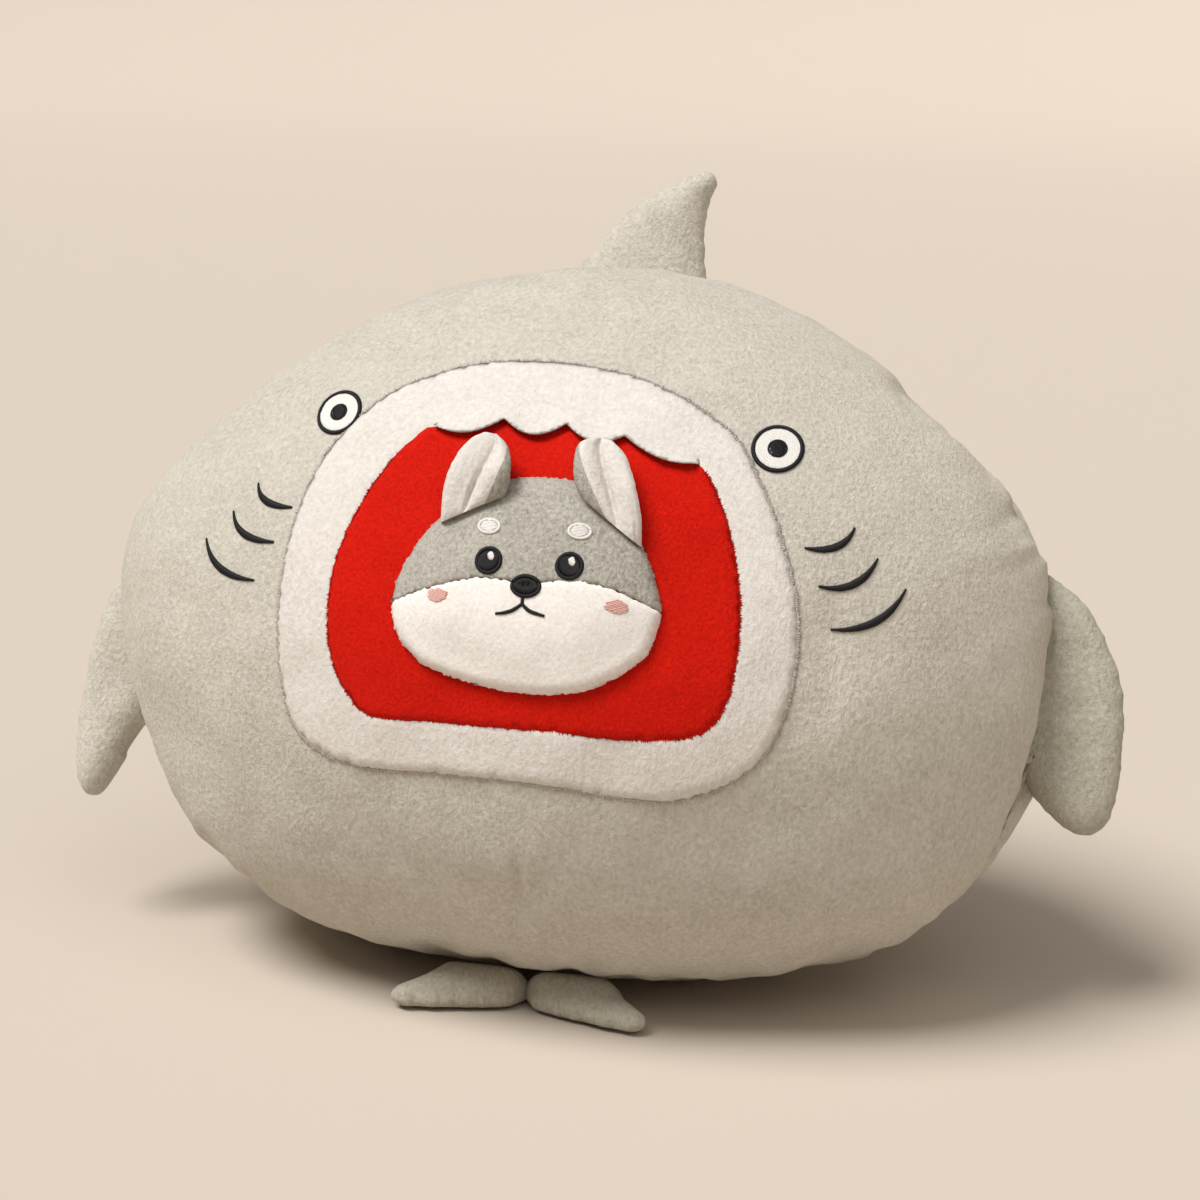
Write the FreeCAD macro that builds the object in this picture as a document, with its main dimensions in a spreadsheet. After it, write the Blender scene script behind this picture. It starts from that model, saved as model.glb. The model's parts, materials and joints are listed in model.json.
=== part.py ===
import FreeCAD, Part
import math
import os

import Sketcher
from FreeCAD import Placement, Rotation, Vector

# A plush shark cushion that sits on the floor and leans back. Millimetres.
# The row frame has its origin on the floor under the middle of the cushion, the face
# looking along -Y, +X to the viewer's right and +Z up. Left and right are the viewer's.
# The cushion's own frame has the same X, its seam plane at Y = 0 and Z along the seam
# plane. Pieces are built in it, then leaned back and lifted by their Placement.

SIZES = [
    # the stuffed cushion
    ("half_width", 214),
    ("half_height", 160),
    ("half_depth", 128),
    ("lean", 18),
    ("floor_flat", 11),
    ("fabric", 2.2),
    ("gap", 0.4),
    ("seam_gap", 1.6),
    ("thread", 0.8),
    # how far each layer of the face stands off the cushion
    ("patch", 2),
    ("lip_level", 0.4),
    ("lining_level", 2.8),
    ("flap_level", 5.2),
    ("padding_level", 5.2),
    ("padding", 3.8),
    ("fur_level", 9.4),
    ("face_thread_level", 12),
    ("glint_level", 13.2),
    ("eye_thread_level", 1.8),
    ("ear_level", 16.2),
    # white lip and red lining of the open mouth
    ("lip_half_width", 108),
    ("lip_half_height", 88),
    ("lip_height", 23),
    ("lining_half_width", 86),
    ("lining_half_height", 66.5),
    ("lining_height", 23.5),
    # scalloped upper teeth
    ("flap_half_width", 54),
    ("flap_top", 103),
    ("flap_end", 79),
    ("notch_height", 84.5),
    ("scallop_drop", 7),
    # the dog's head in the mouth
    ("head_half_width", 54),
    ("head_half_height", 43),
    ("head_height", 17),
    ("padding_inset", 3),
    ("muzzle_top", 17.5),
    ("muzzle_side", 4),
    ("nose_half_width", 6.2),
    ("nose_half_height", 4.8),
    ("nose_height", 15),
    ("mouth_reach", 10),
    ("mouth_top", 10),
    ("dog_eye_spread", 16.5),
    ("dog_eye_height", 24),
    ("dog_eye_radius", 5.8),
    ("glint_radius", 1.2),
    ("brow_spread", 18.5),
    ("brow_height", 38),
    ("brow_half_width", 4.9),
    ("brow_half_height", 3.4),
    ("cheek_spread", 36),
    ("cheek_height", 9.5),
    ("cheek_half_width", 4.6),
    ("cheek_half_height", 2.8),
    ("ear_spread", 29),
    ("ear_base_height", 46),
    ("ear_turn", 12),
    ("ear_length", 31),
    ("ear_half_width", 13),
    ("ear_half_thickness", 3.6),
    # the shark's own eyes and gills
    ("eye_spread", 95.5),
    ("eye_height", 83.5),
    ("eye_radius", 10.6),
    ("eye_ring_width", 1.8),
    ("pupil_radius", 3.8),
    ("gill_spread", 148),
    ("gill_height", 52),
    ("gill_stroke", 1.5),
    # fins and tail flukes
    ("fin_fabric", 1.8),
    ("fin_edge", 3),
    ("fin_clearance", 0.3),
    ("dorsal_root_gap", 2),
    ("dorsal_length", 55),
    ("dorsal_half_width", 34),
    ("dorsal_sweep", 9),
    ("dorsal_half_thickness", 9.5),
    ("pectoral_root_gap", 1.2),
    ("pectoral_length", 117),
    ("pectoral_half_thickness", 8),
    ("pectoral_top_right", 52),
    ("pectoral_top_left", 23),
    ("fluke_shift", -3),
    ("fluke_root", 73),
    ("fluke_root_height", 3),
    ("fluke_rise", 6),
    ("fluke_span", 55),
    ("fluke_length", 26),
    ("fluke_half_thickness", 4.2),
]
SIDES = {"left": -1, "right": 1}

# Right halves of outlines in units of half a width and half a height, top to bottom.
LIP_OUTLINE = [
    (0, 1), (0.42, 0.95), (0.72, 0.72), (0.92, 0.3), (1, -0.15), (0.98, -0.6), (0.84, -0.92),
    (0.45, -1), (0, -0.99),
]
LINING_OUTLINE = [
    (0, 1), (0.4, 0.93), (0.72, 0.66), (0.91, 0.3), (0.99, -0.15), (0.98, -0.5), (0.9, -0.86),
    (0.76, -0.99), (0.4, -0.98), (0, -0.99),
]
HEAD_OUTLINE = [
    (0, 1), (0.35, 0.94), (0.66, 0.68), (0.88, 0.3), (1, -0.13), (0.94, -0.5), (0.72, -0.8),
    (0.38, -0.97), (0, -1),
]
OVAL = [(0, 1), (0.707, 0.707), (1, 0), (0.707, -0.707), (0, -1)]
# The curved gill marks from top to bottom: outer end, lowest point and inner end, in
# units of the gills' spread and height.
GILLS = [
    [(0.851, 0.99), (0.811, 0.84), (0.723, 0.79)],
    [(0.919, 0.76), (0.868, 0.56), (0.764, 0.5)],
    [(1, 0.53), (0.932, 0.27), (0.811, 0.19)],
]
# Lens-shaped sections from root to tip: how far along, first edge, second edge and
# thickness, each in units of the fin's own sizes.
DORSAL_SECTIONS = [
    (0, -1, 1, 0.15), (0.18, -0.8, 0.9, 0.75), (0.44, -0.53, 0.84, 1), (0.73, -0.03, 0.84, 0.8),
    (0.89, 0.45, 0.95, 0.5), (1, 0.74, 0.96, 0.18),
]
FLUKE_SECTIONS = [
    (0, 0.02, 0.62, 0.26), (0.26, 0.02, 0.8, 0.75), (0.52, 0.2, 0.93, 1), (0.8, 0.5, 1, 0.7),
    (1, 0.78, 0.96, 0.25),
]
EAR_SECTIONS = [
    (0, -0.85, 0.85, 0.7), (0.3, -1, 0.95, 1), (0.65, -0.78, 0.8, 0.9), (0.9, -0.45, 0.5, 0.55),
    (1, -0.22, 0.3, 0.3),
]
# The pectoral fin hangs from the side seam: how far down, how far it stands out of the
# seam in millimetres, and thickness; then its free end, with both edges measured from
# the cushion's half width.
PECTORAL_ROOT = [(0, 4, 0.15), (0.1, 10, 0.4), (0.22, 17, 0.68), (0.43, 26, 0.95), (0.65, 30, 1)]
PECTORAL_END = {
    "left": [(0.79, -12, 21, 1), (0.89, -4, 20, 0.85), (0.96, 1, 17, 0.5), (1, 6, 13, 0.2)],
    "right": [(0.79, -5, 28, 1), (0.89, -6, 26, 0.85), (0.96, -1, 22, 0.5), (1, 5, 16, 0.2)],
}

doc = FreeCAD.newDocument("PlushShark")
sizes = doc.addObject("Spreadsheet::Sheet", "Sizes")
for row, (alias, value) in enumerate(SIZES, start=1):
    sizes.set(f"A{row}", alias)
    sizes.set(f"B{row}", str(value))
    sizes.setAlias(f"B{row}", alias)
doc.recompute()

CENTRE_HEIGHT = (
    "(sqrt((Sizes.half_depth * sin(Sizes.lean))^2 + (Sizes.half_height * cos(Sizes.lean))^2)"
    " - Sizes.floor_flat)"
)
BEYOND = "Sizes.half_width * 1.5"
subparts = []


def size(alias):
    """A driving dimension as a number."""
    return float(sizes.get(alias))


def seam_reach(z):
    """Expression for the side seam's distance from the middle at a height z."""
    return f"(Sizes.half_width * sqrt(1 - (({z}) / Sizes.half_height)^2))"


def feature(kind, name, **links):
    """A document object with its links or plain options set."""
    item = doc.addObject(kind, name)
    for key, value in links.items():
        setattr(item, key, value)
    return item


def bind(item, **rules):
    """Ties properties of an object to expressions."""
    for key, rule in rules.items():
        item.setExpression(key, rule)
    return item


def subpart(item, label):
    """Names a finished piece."""
    item.Label = label
    subparts.append(item)
    return item


def stand_up(item, label):
    """Leans a finished piece back with the cushion and lifts it to its height."""
    item.Placement = Placement(Vector(0, 0, 0), Rotation(Vector(-1, 0, 0), 1))
    item.setExpression("Placement.Rotation.Angle", "Sizes.lean")
    item.setExpression("Placement.Base.z", CENTRE_HEIGHT)
    return subpart(item, label)


# ---- sketches ----


def front_sketch(name):
    """An empty sketch on the seam plane, drawn as seen from the front."""
    sketch = feature("Sketcher::SketchObject", name)
    sketch.Placement = Placement(Vector(0, 0, 0), Rotation(Vector(1, 0, 0), 90))
    return sketch


def pin(sketch, edge, end, x, z):
    """Ties an edge's start (1), end (2) or centre (3) to expressions."""
    here = sketch.getPoint(edge, end)
    for kind, value, rule in (("DistanceX", here.x, x), ("DistanceY", here.y, z)):
        index = sketch.addConstraint(Sketcher.Constraint(kind, -1, 1, edge, end, value))
        sketch.setExpression(f"Constraints[{index}]", rule)


def evaluate(rule):
    """The number that an expression over the sheet gives."""
    result = sizes.evalExpression(rule)
    return float(getattr(result, "Value", result))


def disc(name, x, z, radius):
    """A circle sketch."""
    sketch = front_sketch(name)
    centre = Vector(evaluate(x), evaluate(z), 0)
    edge = sketch.addGeometry(Part.Circle(centre, Vector(0, 0, 1), evaluate(radius)))
    pin(sketch, edge, 3, x, z)
    index = sketch.addConstraint(Sketcher.Constraint("Radius", edge, evaluate(radius)))
    sketch.setExpression(f"Constraints[{index}]", radius)
    return sketch


def round_outline(name, half_points, x, z, half_width, half_height):
    """A smooth closed sketch through mirrored unit points, scaled about a centre."""
    mirrored = [(-u, v) for u, v in reversed(half_points[1:-1])]
    centre = Vector(evaluate(x), evaluate(z), 0)
    width = evaluate(half_width)
    height = evaluate(half_height)
    curve = Part.BSplineCurve()
    points = [centre + Vector(u * width, v * height, 0) for u, v in half_points + mirrored]
    curve.interpolate(Points=points, PeriodicFlag=True)
    sketch = front_sketch(name)
    edge = sketch.addGeometry(curve)
    sketch.exposeInternalGeometry(edge)
    for index, item in enumerate(sketch.Geometry):
        if isinstance(item, Part.Circle):
            u = (item.Center.x - centre.x) / width
            v = (item.Center.y - centre.y) / height
            pin(sketch, index, 3, f"{x} + {u} * {half_width}", f"{z} + {v} * {half_height}")
    return sketch


def draw_arc(sketch, first, middle, last):
    """An arc through three points given as expressions."""
    corners = [Vector(evaluate(x), evaluate(z), 0) for x, z in (first, middle, last)]
    arc = Part.Arc(*corners)
    edge = sketch.addGeometry(arc)
    starts_first = sketch.getPoint(edge, 1).distanceToPoint(corners[0]) < 1e-6
    ends = (first, last) if starts_first else (last, first)
    pin(sketch, edge, 1, *ends[0])
    pin(sketch, edge, 2, *ends[1])
    sketch.addConstraint(Sketcher.Constraint("Radius", edge, sketch.Geometry[edge].Radius))


def draw_lines(sketch, corners):
    """Straight edges through points given as expressions."""
    for first, last in zip(corners, corners[1:]):
        start = Vector(evaluate(first[0]), evaluate(first[1]), 0)
        end = Vector(evaluate(last[0]), evaluate(last[1]), 0)
        edge = sketch.addGeometry(Part.LineSegment(start, end))
        pin(sketch, edge, 1, *first)
        pin(sketch, edge, 2, *last)


# ---- solids in the cushion's own frame ----


def egg(name, offset):
    """The cushion's ellipsoid with its surface moved out by an offset."""
    solid = feature("Part::Ellipsoid", name)
    radii = zip(("Radius1", "Radius2", "Radius3"), ("half_height", "half_width", "half_depth"))
    return bind(solid, **{key: f"Sizes.{alias} + {offset}" for key, alias in radii})


def cut(name, base, tool):
    return feature("Part::Cut", name, Base=base, Tool=tool)


def common(name, base, tool):
    return feature("Part::Common", name, Base=base, Tool=tool)


def layer(name, level, thickness):
    """A thin shell that follows the cushion at a level above its surface."""
    outside = egg(f"{name}_outside", f"{level} + {thickness}")
    return cut(f"{name}_layer", outside, egg(f"{name}_inside", level))


def prism(sketch):
    """A sketch pushed forwards out of the cushion."""
    solid = feature(
        "Part::Extrusion", f"{sketch.Name}_prism", Base=sketch, DirMode="Normal", Solid=True
    )
    return bind(solid, LengthFwd=BEYOND)


def side(name, direction, gap):
    """A block in front of (-1) or behind (1) the seam plane, short of it by half a gap."""
    block = feature("Part::Box", name)
    bind(block, Length=f"2 * {BEYOND}", Width=BEYOND, Height=f"2 * {BEYOND}")
    near = f"{gap} / 2" if direction > 0 else f"-{gap} / 2 - {BEYOND}"
    rules = {
        "Placement.Base.x": f"-{BEYOND}",
        "Placement.Base.y": near,
        "Placement.Base.z": f"-{BEYOND}",
    }
    return bind(block, **rules)


def above_floor(name, height):
    """A block that fills everything above a height over the floor."""
    block = feature("Part::Box", name)
    bind(block, Length=f"2 * {BEYOND}", Width=f"2 * {BEYOND}", Height=f"2 * {BEYOND}")
    block.Placement = Placement(Vector(0, 0, 0), Rotation(Vector(1, 0, 0), 1))
    drop = f"({CENTRE_HEIGHT} - {height})"
    rules = {
        "Placement.Rotation.Angle": "Sizes.lean",
        "Placement.Base.x": f"-{BEYOND}",
        "Placement.Base.y": f"-{BEYOND} * cos(Sizes.lean) + {drop} * sin(Sizes.lean)",
        "Placement.Base.z": f"-{BEYOND} * sin(Sizes.lean) - {drop} * cos(Sizes.lean)",
    }
    return bind(block, **rules)


def flattened(name, offset):
    """The cushion's ellipsoid with the flat that rests on the floor."""
    solid = egg(f"{name}_egg", offset)
    return common(name, solid, above_floor(f"{name}_floor", f"(-({offset}))"))


FRONT = side("front_side", -1, "Sizes.gap")
BACK = side("back_side", 1, "Sizes.gap")


def make_cushion():
    """Two plush panels sewn together all round, the seam thread and the filling."""
    skin = cut("skin", flattened("skin_outside", "0"), flattened("skin_inside", "-Sizes.fabric"))
    for name, direction in (("body_front_panel", -1), ("body_back_panel", 1)):
        half = side(f"{name}_side", direction, "Sizes.seam_gap")
        stand_up(common(name, skin, half), name)
    deep = "-Sizes.fabric - Sizes.gap"
    stand_up(flattened("body_stuffing", deep), "body_stuffing")
    inside = seam_disc("thread_inside", "2 * Sizes.thread")
    thread = cut("perimeter_seam_thread", seam_disc("thread_outside", "Sizes.thread"), inside)
    stand_up(thread, "perimeter_seam_thread")


def seam_disc(name, depth):
    """A flat disc of thread thickness in the seam plane, its edge a depth inside the skin."""
    outline = feature("Part::Ellipse", f"{name}_outline")
    outline.Placement = Placement(Vector(0, 0, 0), Rotation(Vector(1, 0, 0), 90))
    radii = {"MajorRadius": "half_width", "MinorRadius": "half_height"}
    bind(outline, **{key: f"Sizes.{alias} - {depth}" for key, alias in radii.items()})
    plate = feature("Part::Extrusion", f"{name}_plate", Base=outline, DirMode="Normal", Solid=True)
    plate.Symmetric = True
    bind(plate, LengthFwd="Sizes.thread")
    return common(name, plate, above_floor(f"{name}_floor", depth))


def make_mouth():
    """The white lip, the red lining over it and the scalloped teeth flap over both."""
    lip = round_outline(
        "lip_outline", LIP_OUTLINE, "0", "Sizes.lip_height", "Sizes.lip_half_width",
        "Sizes.lip_half_height",
    )
    lip_layer = layer("lip", "Sizes.lip_level", "Sizes.patch")
    stand_up(common("lip_patch", lip_layer, prism(lip)), "lip_patch")
    lining = round_outline(
        "lining_outline", LINING_OUTLINE, "0", "Sizes.lining_height", "Sizes.lining_half_width",
        "Sizes.lining_half_height",
    )
    lining_layer = layer("lining", "Sizes.lining_level", "Sizes.patch")
    stand_up(common("mouth_lining", lining_layer, prism(lining)), "mouth_lining")
    flap_layer = layer("flap", "Sizes.flap_level", "Sizes.patch")
    stand_up(common("teeth_flap", flap_layer, prism(teeth_outline())), "teeth_flap")


def teeth_outline():
    """Four scallops along the free edge, closed by an arc along the sewn edge."""
    sketch = front_sketch("teeth_outline")
    edge = "Sizes.flap_half_width"
    corners = [(f"{edge} * {part}", "Sizes.notch_height") for part in (-0.5, 0, 0.5)]
    corners.insert(0, (f"-{edge}", "Sizes.flap_end"))
    corners.append((edge, "Sizes.flap_end"))
    for first, last in zip(corners, corners[1:]):
        middle = (
            f"({first[0]} + {last[0]}) / 2",
            f"({first[1]} + {last[1]}) / 2 - Sizes.scallop_drop",
        )
        draw_arc(sketch, first, middle, last)
    draw_arc(sketch, corners[-1], ("0", "Sizes.flap_top"), corners[0])
    return sketch


def muzzle_region(name, raised):
    """Everything below the curved line between the grey fur and the white muzzle."""
    sketch = front_sketch(name)
    wide = "Sizes.head_half_width * 1.1"
    low = "Sizes.head_height - Sizes.head_half_height * 1.2"
    left = (f"-{wide}", f"Sizes.muzzle_side + {raised}")
    right = (wide, f"Sizes.muzzle_side + {raised}")
    draw_arc(sketch, left, ("0", f"Sizes.muzzle_top + {raised}"), right)
    draw_lines(sketch, [right, (wide, low), (f"-{wide}", low), left])
    return prism(sketch)


def mouth_stroke():
    """The dog's mouth: a short stem that parts into two drooping arms."""
    sketch = front_sketch("mouth_stroke")
    reach = "Sizes.mouth_reach"
    top = "Sizes.mouth_top"
    right = [(0.1, 0), (0.1, -0.28), (1, -0.62), (0.93, -0.8), (0, -0.5)]
    outline = right + [(-u, v) for u, v in reversed(right[:-1])] + right[:1]
    draw_lines(sketch, [(f"{u} * {reach}", f"{top} + {v} * {reach}") for u, v in outline])
    return sketch


def make_dog_head():
    """A padded head sewn on the lining: grey fur above, white muzzle below."""
    place = ("0", "Sizes.head_height")
    full = ("Sizes.head_half_width", "Sizes.head_half_height")
    inset = tuple(f"({rule} - Sizes.padding_inset)" for rule in full)
    pad_layer = layer("padding", "Sizes.padding_level", "Sizes.padding")
    pad = prism(round_outline("padding_outline", HEAD_OUTLINE, *place, *inset))
    stand_up(common("dog_head_padding", pad_layer, pad), "dog_head_padding")
    fur_layer = layer("fur", "Sizes.fur_level", "Sizes.fabric")
    head = prism(round_outline("head_outline", HEAD_OUTLINE, *place, *full))
    face = common("face_layer", fur_layer, head)
    fur = cut("dog_face_fur", face, muzzle_region("muzzle_gap", "Sizes.gap"))
    stand_up(fur, "dog_face_fur")
    muzzle = common("dog_muzzle", face, muzzle_region("muzzle_area", "0"))
    stand_up(muzzle, "dog_muzzle")


def make_face_stitching():
    """Satin-stitched nose, mouth, eyes with glints, brows and cheeks on the dog's face."""
    thread = layer("face_thread", "Sizes.face_thread_level", "Sizes.thread")
    nose = round_outline(
        "nose_outline", OVAL, "0", "Sizes.nose_height", "Sizes.nose_half_width",
        "Sizes.nose_half_height",
    )
    stand_up(common("dog_nose", thread, prism(nose)), "dog_nose")
    stand_up(common("dog_mouth", thread, prism(mouth_stroke())), "dog_mouth_stitching")
    glint_layer = layer("glint", "Sizes.glint_level", "Sizes.gap")
    for name, sign in SIDES.items():
        for mark in ("brow", "cheek"):
            label = f"dog_{mark}_{name}"
            oval = round_outline(
                f"{label}_outline", OVAL, f"{sign} * Sizes.{mark}_spread", f"Sizes.{mark}_height",
                f"Sizes.{mark}_half_width", f"Sizes.{mark}_half_height",
            )
            stand_up(common(label, thread, prism(oval)), label)
        label = f"dog_eye_{name}"
        eye_x = f"{sign} * Sizes.dog_eye_spread"
        circle = (eye_x, "Sizes.dog_eye_height", "Sizes.dog_eye_radius")
        stand_up(common(label, thread, prism(disc(f"{label}_circle", *circle))), label)
        label = f"dog_eye_glint_{name}"
        spot = (f"{eye_x} + Sizes.glint_radius", "Sizes.dog_eye_height + 2 * Sizes.glint_radius")
        glint = prism(disc(f"{label}_circle", *spot, "Sizes.glint_radius"))
        stand_up(common(label, glint_layer, glint), label)


def make_shark_eyes():
    """Embroidered eyes: a white disc under a black ring and pupil."""
    white_layer = layer("eye_white", "Sizes.lip_level", "Sizes.thread")
    black_layer = layer("eye_black", "Sizes.eye_thread_level", "Sizes.thread")
    for name, sign in SIDES.items():
        x = f"{sign} * Sizes.eye_spread"
        circles = {
            "outer": "Sizes.eye_radius",
            "inner": "Sizes.eye_radius - Sizes.eye_ring_width",
            "pupil": "Sizes.pupil_radius",
        }
        discs = {
            key: prism(disc(f"{key}_circle_{name}", x, "Sizes.eye_height", radius))
            for key, radius in circles.items()
        }
        label = f"shark_eye_white_{name}"
        stand_up(common(label, white_layer, discs["outer"]), label)
        label = f"shark_eye_ring_{name}"
        ring = cut(f"{label}_prism", discs["outer"], discs["inner"])
        stand_up(common(label, black_layer, ring), label)
        label = f"shark_eye_pupil_{name}"
        stand_up(common(label, black_layer, discs["pupil"]), label)


def make_gills():
    """Three curved embroidered strokes on each side, thick in the middle."""
    thread = layer("gill_thread", "Sizes.lip_level", "Sizes.thread")
    for name, sign in SIDES.items():
        strokes = []
        for number, points in enumerate(GILLS, start=1):
            rules = [
                (f"{sign * u} * Sizes.gill_spread", f"{v} * Sizes.gill_height") for u, v in points
            ]
            sketch = front_sketch(f"gill_{name}_{number}")
            for way in ("+", "-"):
                middle = (rules[1][0], f"{rules[1][1]} {way} Sizes.gill_stroke")
                draw_arc(sketch, rules[0], middle, rules[2])
            strokes.append(common(f"stroke_{name}_{number}", thread, prism(sketch)))
        label = f"gill_stitching_{name}"
        group = feature("Part::Compound", label, Links=strokes)
        stand_up(group, label)


# ---- stuffed fins, flukes and ears ----


def lens(name, along, first, last, half_thickness):
    """A lens-shaped section across a fin, at a distance along it."""
    sketch = feature("Sketcher::SketchObject", name)
    sketch.setExpression("Placement.Base.z", along)
    for way in ("", "-"):
        middle = (f"(({first}) + ({last})) / 2", f"{way}({half_thickness})")
        draw_arc(sketch, (first, "0"), middle, (last, "0"))
    return sketch


def loft(name, sections, edge, fabric):
    """A solid through lens sections, taken in from their edges and faces."""
    sketches = [
        lens(f"{name}_{i}", along, f"{first} + {edge}", f"{last} - {edge}", f"{half} - {fabric}")
        for i, (along, first, last, half) in enumerate(sections)
    ]
    return feature("Part::Loft", name, Sections=sketches, Solid=True, Ruled=False)


def stuffed_piece(name, sections, halves=("front_panel", "back_panel")):
    """Two panels sewn round a filling, as {label: solid} in the piece's own frame."""
    edge = "Sizes.fin_edge"
    outside = loft(f"{name}_outside", sections, "0", "0")
    inside = loft(f"{name}_inside", sections[1:-1], edge, "Sizes.fin_fabric")
    skin = cut(f"{name}_skin", outside, inside)
    core_edge = f"({edge} + Sizes.fin_clearance)"
    core_cloth = "(Sizes.fin_fabric + Sizes.fin_clearance)"
    return {
        f"{name}_{halves[0]}": common(f"{name}_{halves[0]}", skin, FRONT),
        f"{name}_{halves[1]}": common(f"{name}_{halves[1]}", skin, BACK),
        f"{name}_stuffing": loft(f"{name}_stuffing", sections[1:-1], core_edge, core_cloth),
    }


def make_dorsal_fin():
    """The swept fin that stands in the top seam."""
    root = "(Sizes.half_height + Sizes.dorsal_root_gap)"
    sections = [
        (
            f"{root} + {along} * Sizes.dorsal_length",
            f"Sizes.dorsal_sweep + {first} * Sizes.dorsal_half_width",
            f"Sizes.dorsal_sweep + {last} * Sizes.dorsal_half_width",
            f"{half} * Sizes.dorsal_half_thickness",
        )
        for along, first, last, half in DORSAL_SECTIONS
    ]
    for label, solid in stuffed_piece("dorsal_fin", sections).items():
        stand_up(solid, label)


def make_pectoral_fins():
    """The fins that hang like arms from the side seams."""
    for name, sign in SIDES.items():
        top = f"Sizes.pectoral_top_{name}"
        sections = []
        for along, reach, half in PECTORAL_ROOT:
            z = f"{top} - {along} * Sizes.pectoral_length"
            seam = f"{seam_reach(z)} + Sizes.pectoral_root_gap"
            depth = f"{half} * Sizes.pectoral_half_thickness"
            sections.append((z, seam, f"{seam} + {reach}", depth))
        for along, first, last, half in PECTORAL_END[name]:
            z = f"{top} - {along} * Sizes.pectoral_length"
            ends = [f"Sizes.half_width + {value}" for value in (first, last)]
            sections.append((z, *ends, f"{half} * Sizes.pectoral_half_thickness"))
        if sign < 0:
            sections = [(z, f"-({last})", f"-({first})", half) for z, first, last, half in sections]
        for label, solid in stuffed_piece(f"pectoral_fin_{name}", sections).items():
            stand_up(solid, label)


def make_tail_flukes():
    """The two flukes that lie on the floor in front of the cushion's bottom seam."""
    for name, sign in SIDES.items():
        sections = []
        for along, near, far, half in FLUKE_SECTIONS:
            ends = sorted((sign * near, sign * far))
            sections.append(
                (
                    f"{along} * Sizes.fluke_length",
                    f"{ends[0]} * Sizes.fluke_span",
                    f"{ends[1]} * Sizes.fluke_span",
                    f"{half} * Sizes.fluke_half_thickness",
                )
            )
        halves = ("bottom_panel", "top_panel")
        for label, solid in stuffed_piece(f"tail_fluke_{name}", sections, halves).items():
            solid.Placement = Placement(Vector(0, 0, 0), Rotation(Vector(1, 0, 0), 1))
            rules = {
                "Placement.Rotation.Angle": "90 - Sizes.fluke_rise",
                "Placement.Base.x": "Sizes.fluke_shift",
                "Placement.Base.y": "-Sizes.fluke_root",
                "Placement.Base.z": "Sizes.fluke_root_height",
            }
            subpart(bind(solid, **rules), label)


def surface_place(x, z, level, turn):
    """A Placement on a layer: local Y points in along the normal, local Z up the surface."""
    radii = [size(alias) + level for alias in ("half_width", "half_depth", "half_height")]
    y = -radii[1] * math.sqrt(1 - (x / radii[0]) ** 2 - (z / radii[2]) ** 2)
    inwards = -Vector(x / radii[0] ** 2, y / radii[1] ** 2, z / radii[2] ** 2)
    across = inwards.cross(Vector(0, 0, 1))
    upright = Rotation(across, inwards, Vector(0, 0, 1), "YXZ")
    return Placement(Vector(x, y, z), upright * Rotation(Vector(0, 1, 0), turn))


def make_ears():
    """The dog's folded ears: grey cloth behind, white cloth in front, sewn at the base."""
    lift = Placement(
        Vector(0, 0, evaluate(CENTRE_HEIGHT)), Rotation(Vector(-1, 0, 0), size("lean"))
    )
    for name, sign in SIDES.items():
        sections = []
        for along, first, last, half in EAR_SECTIONS:
            ends = sorted((sign * first, sign * last))
            sections.append(
                (
                    f"{along} * Sizes.ear_length",
                    f"{ends[0]} * Sizes.ear_half_width",
                    f"{ends[1]} * Sizes.ear_half_width",
                    f"{half} * Sizes.ear_half_thickness",
                )
            )
        ear = loft(f"ear_{name}", sections, "0", "0")
        place = lift * surface_place(
            sign * size("ear_spread"), size("ear_base_height"), size("ear_level"),
            -sign * size("ear_turn"),
        )
        for kind, half in (("inner", FRONT), ("outer", BACK)):
            label = f"dog_ear_{kind}_{name}"
            solid = common(label, ear, half)
            solid.Placement = place
            subpart(solid, label)


make_cushion()
make_mouth()
make_dog_head()
make_face_stitching()
make_shark_eyes()
make_gills()
make_dorsal_fin()
make_pectoral_fins()
make_tail_flukes()
make_ears()
doc.recompute()

faults = [
    f"{item.Name}: {item.State}"
    for item in doc.Objects
    if "Invalid" in item.State or "Error" in item.State
]
faults += [
    f"{item.Label}: no valid shape"
    for item in subparts
    if item.Shape.isNull() or not item.Shape.isValid() or not item.Shape.Solids
]
if faults:
    raise SystemExit("\n".join(faults))

os.makedirs("parts", exist_ok=True)
for item in subparts:
    item.Shape.exportStep(f"parts/{item.Label}.step")
print(f"{len(subparts)} sub-parts, cushion centre {evaluate(CENTRE_HEIGHT):.1f} mm above the floor")
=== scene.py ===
import json
import math

import bmesh
import bpy
import numpy as np
from mathutils import Matrix, Vector, noise
from mathutils.bvhtree import BVHTree
from mathutils.geometry import delaunay_2d_cdt


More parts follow.
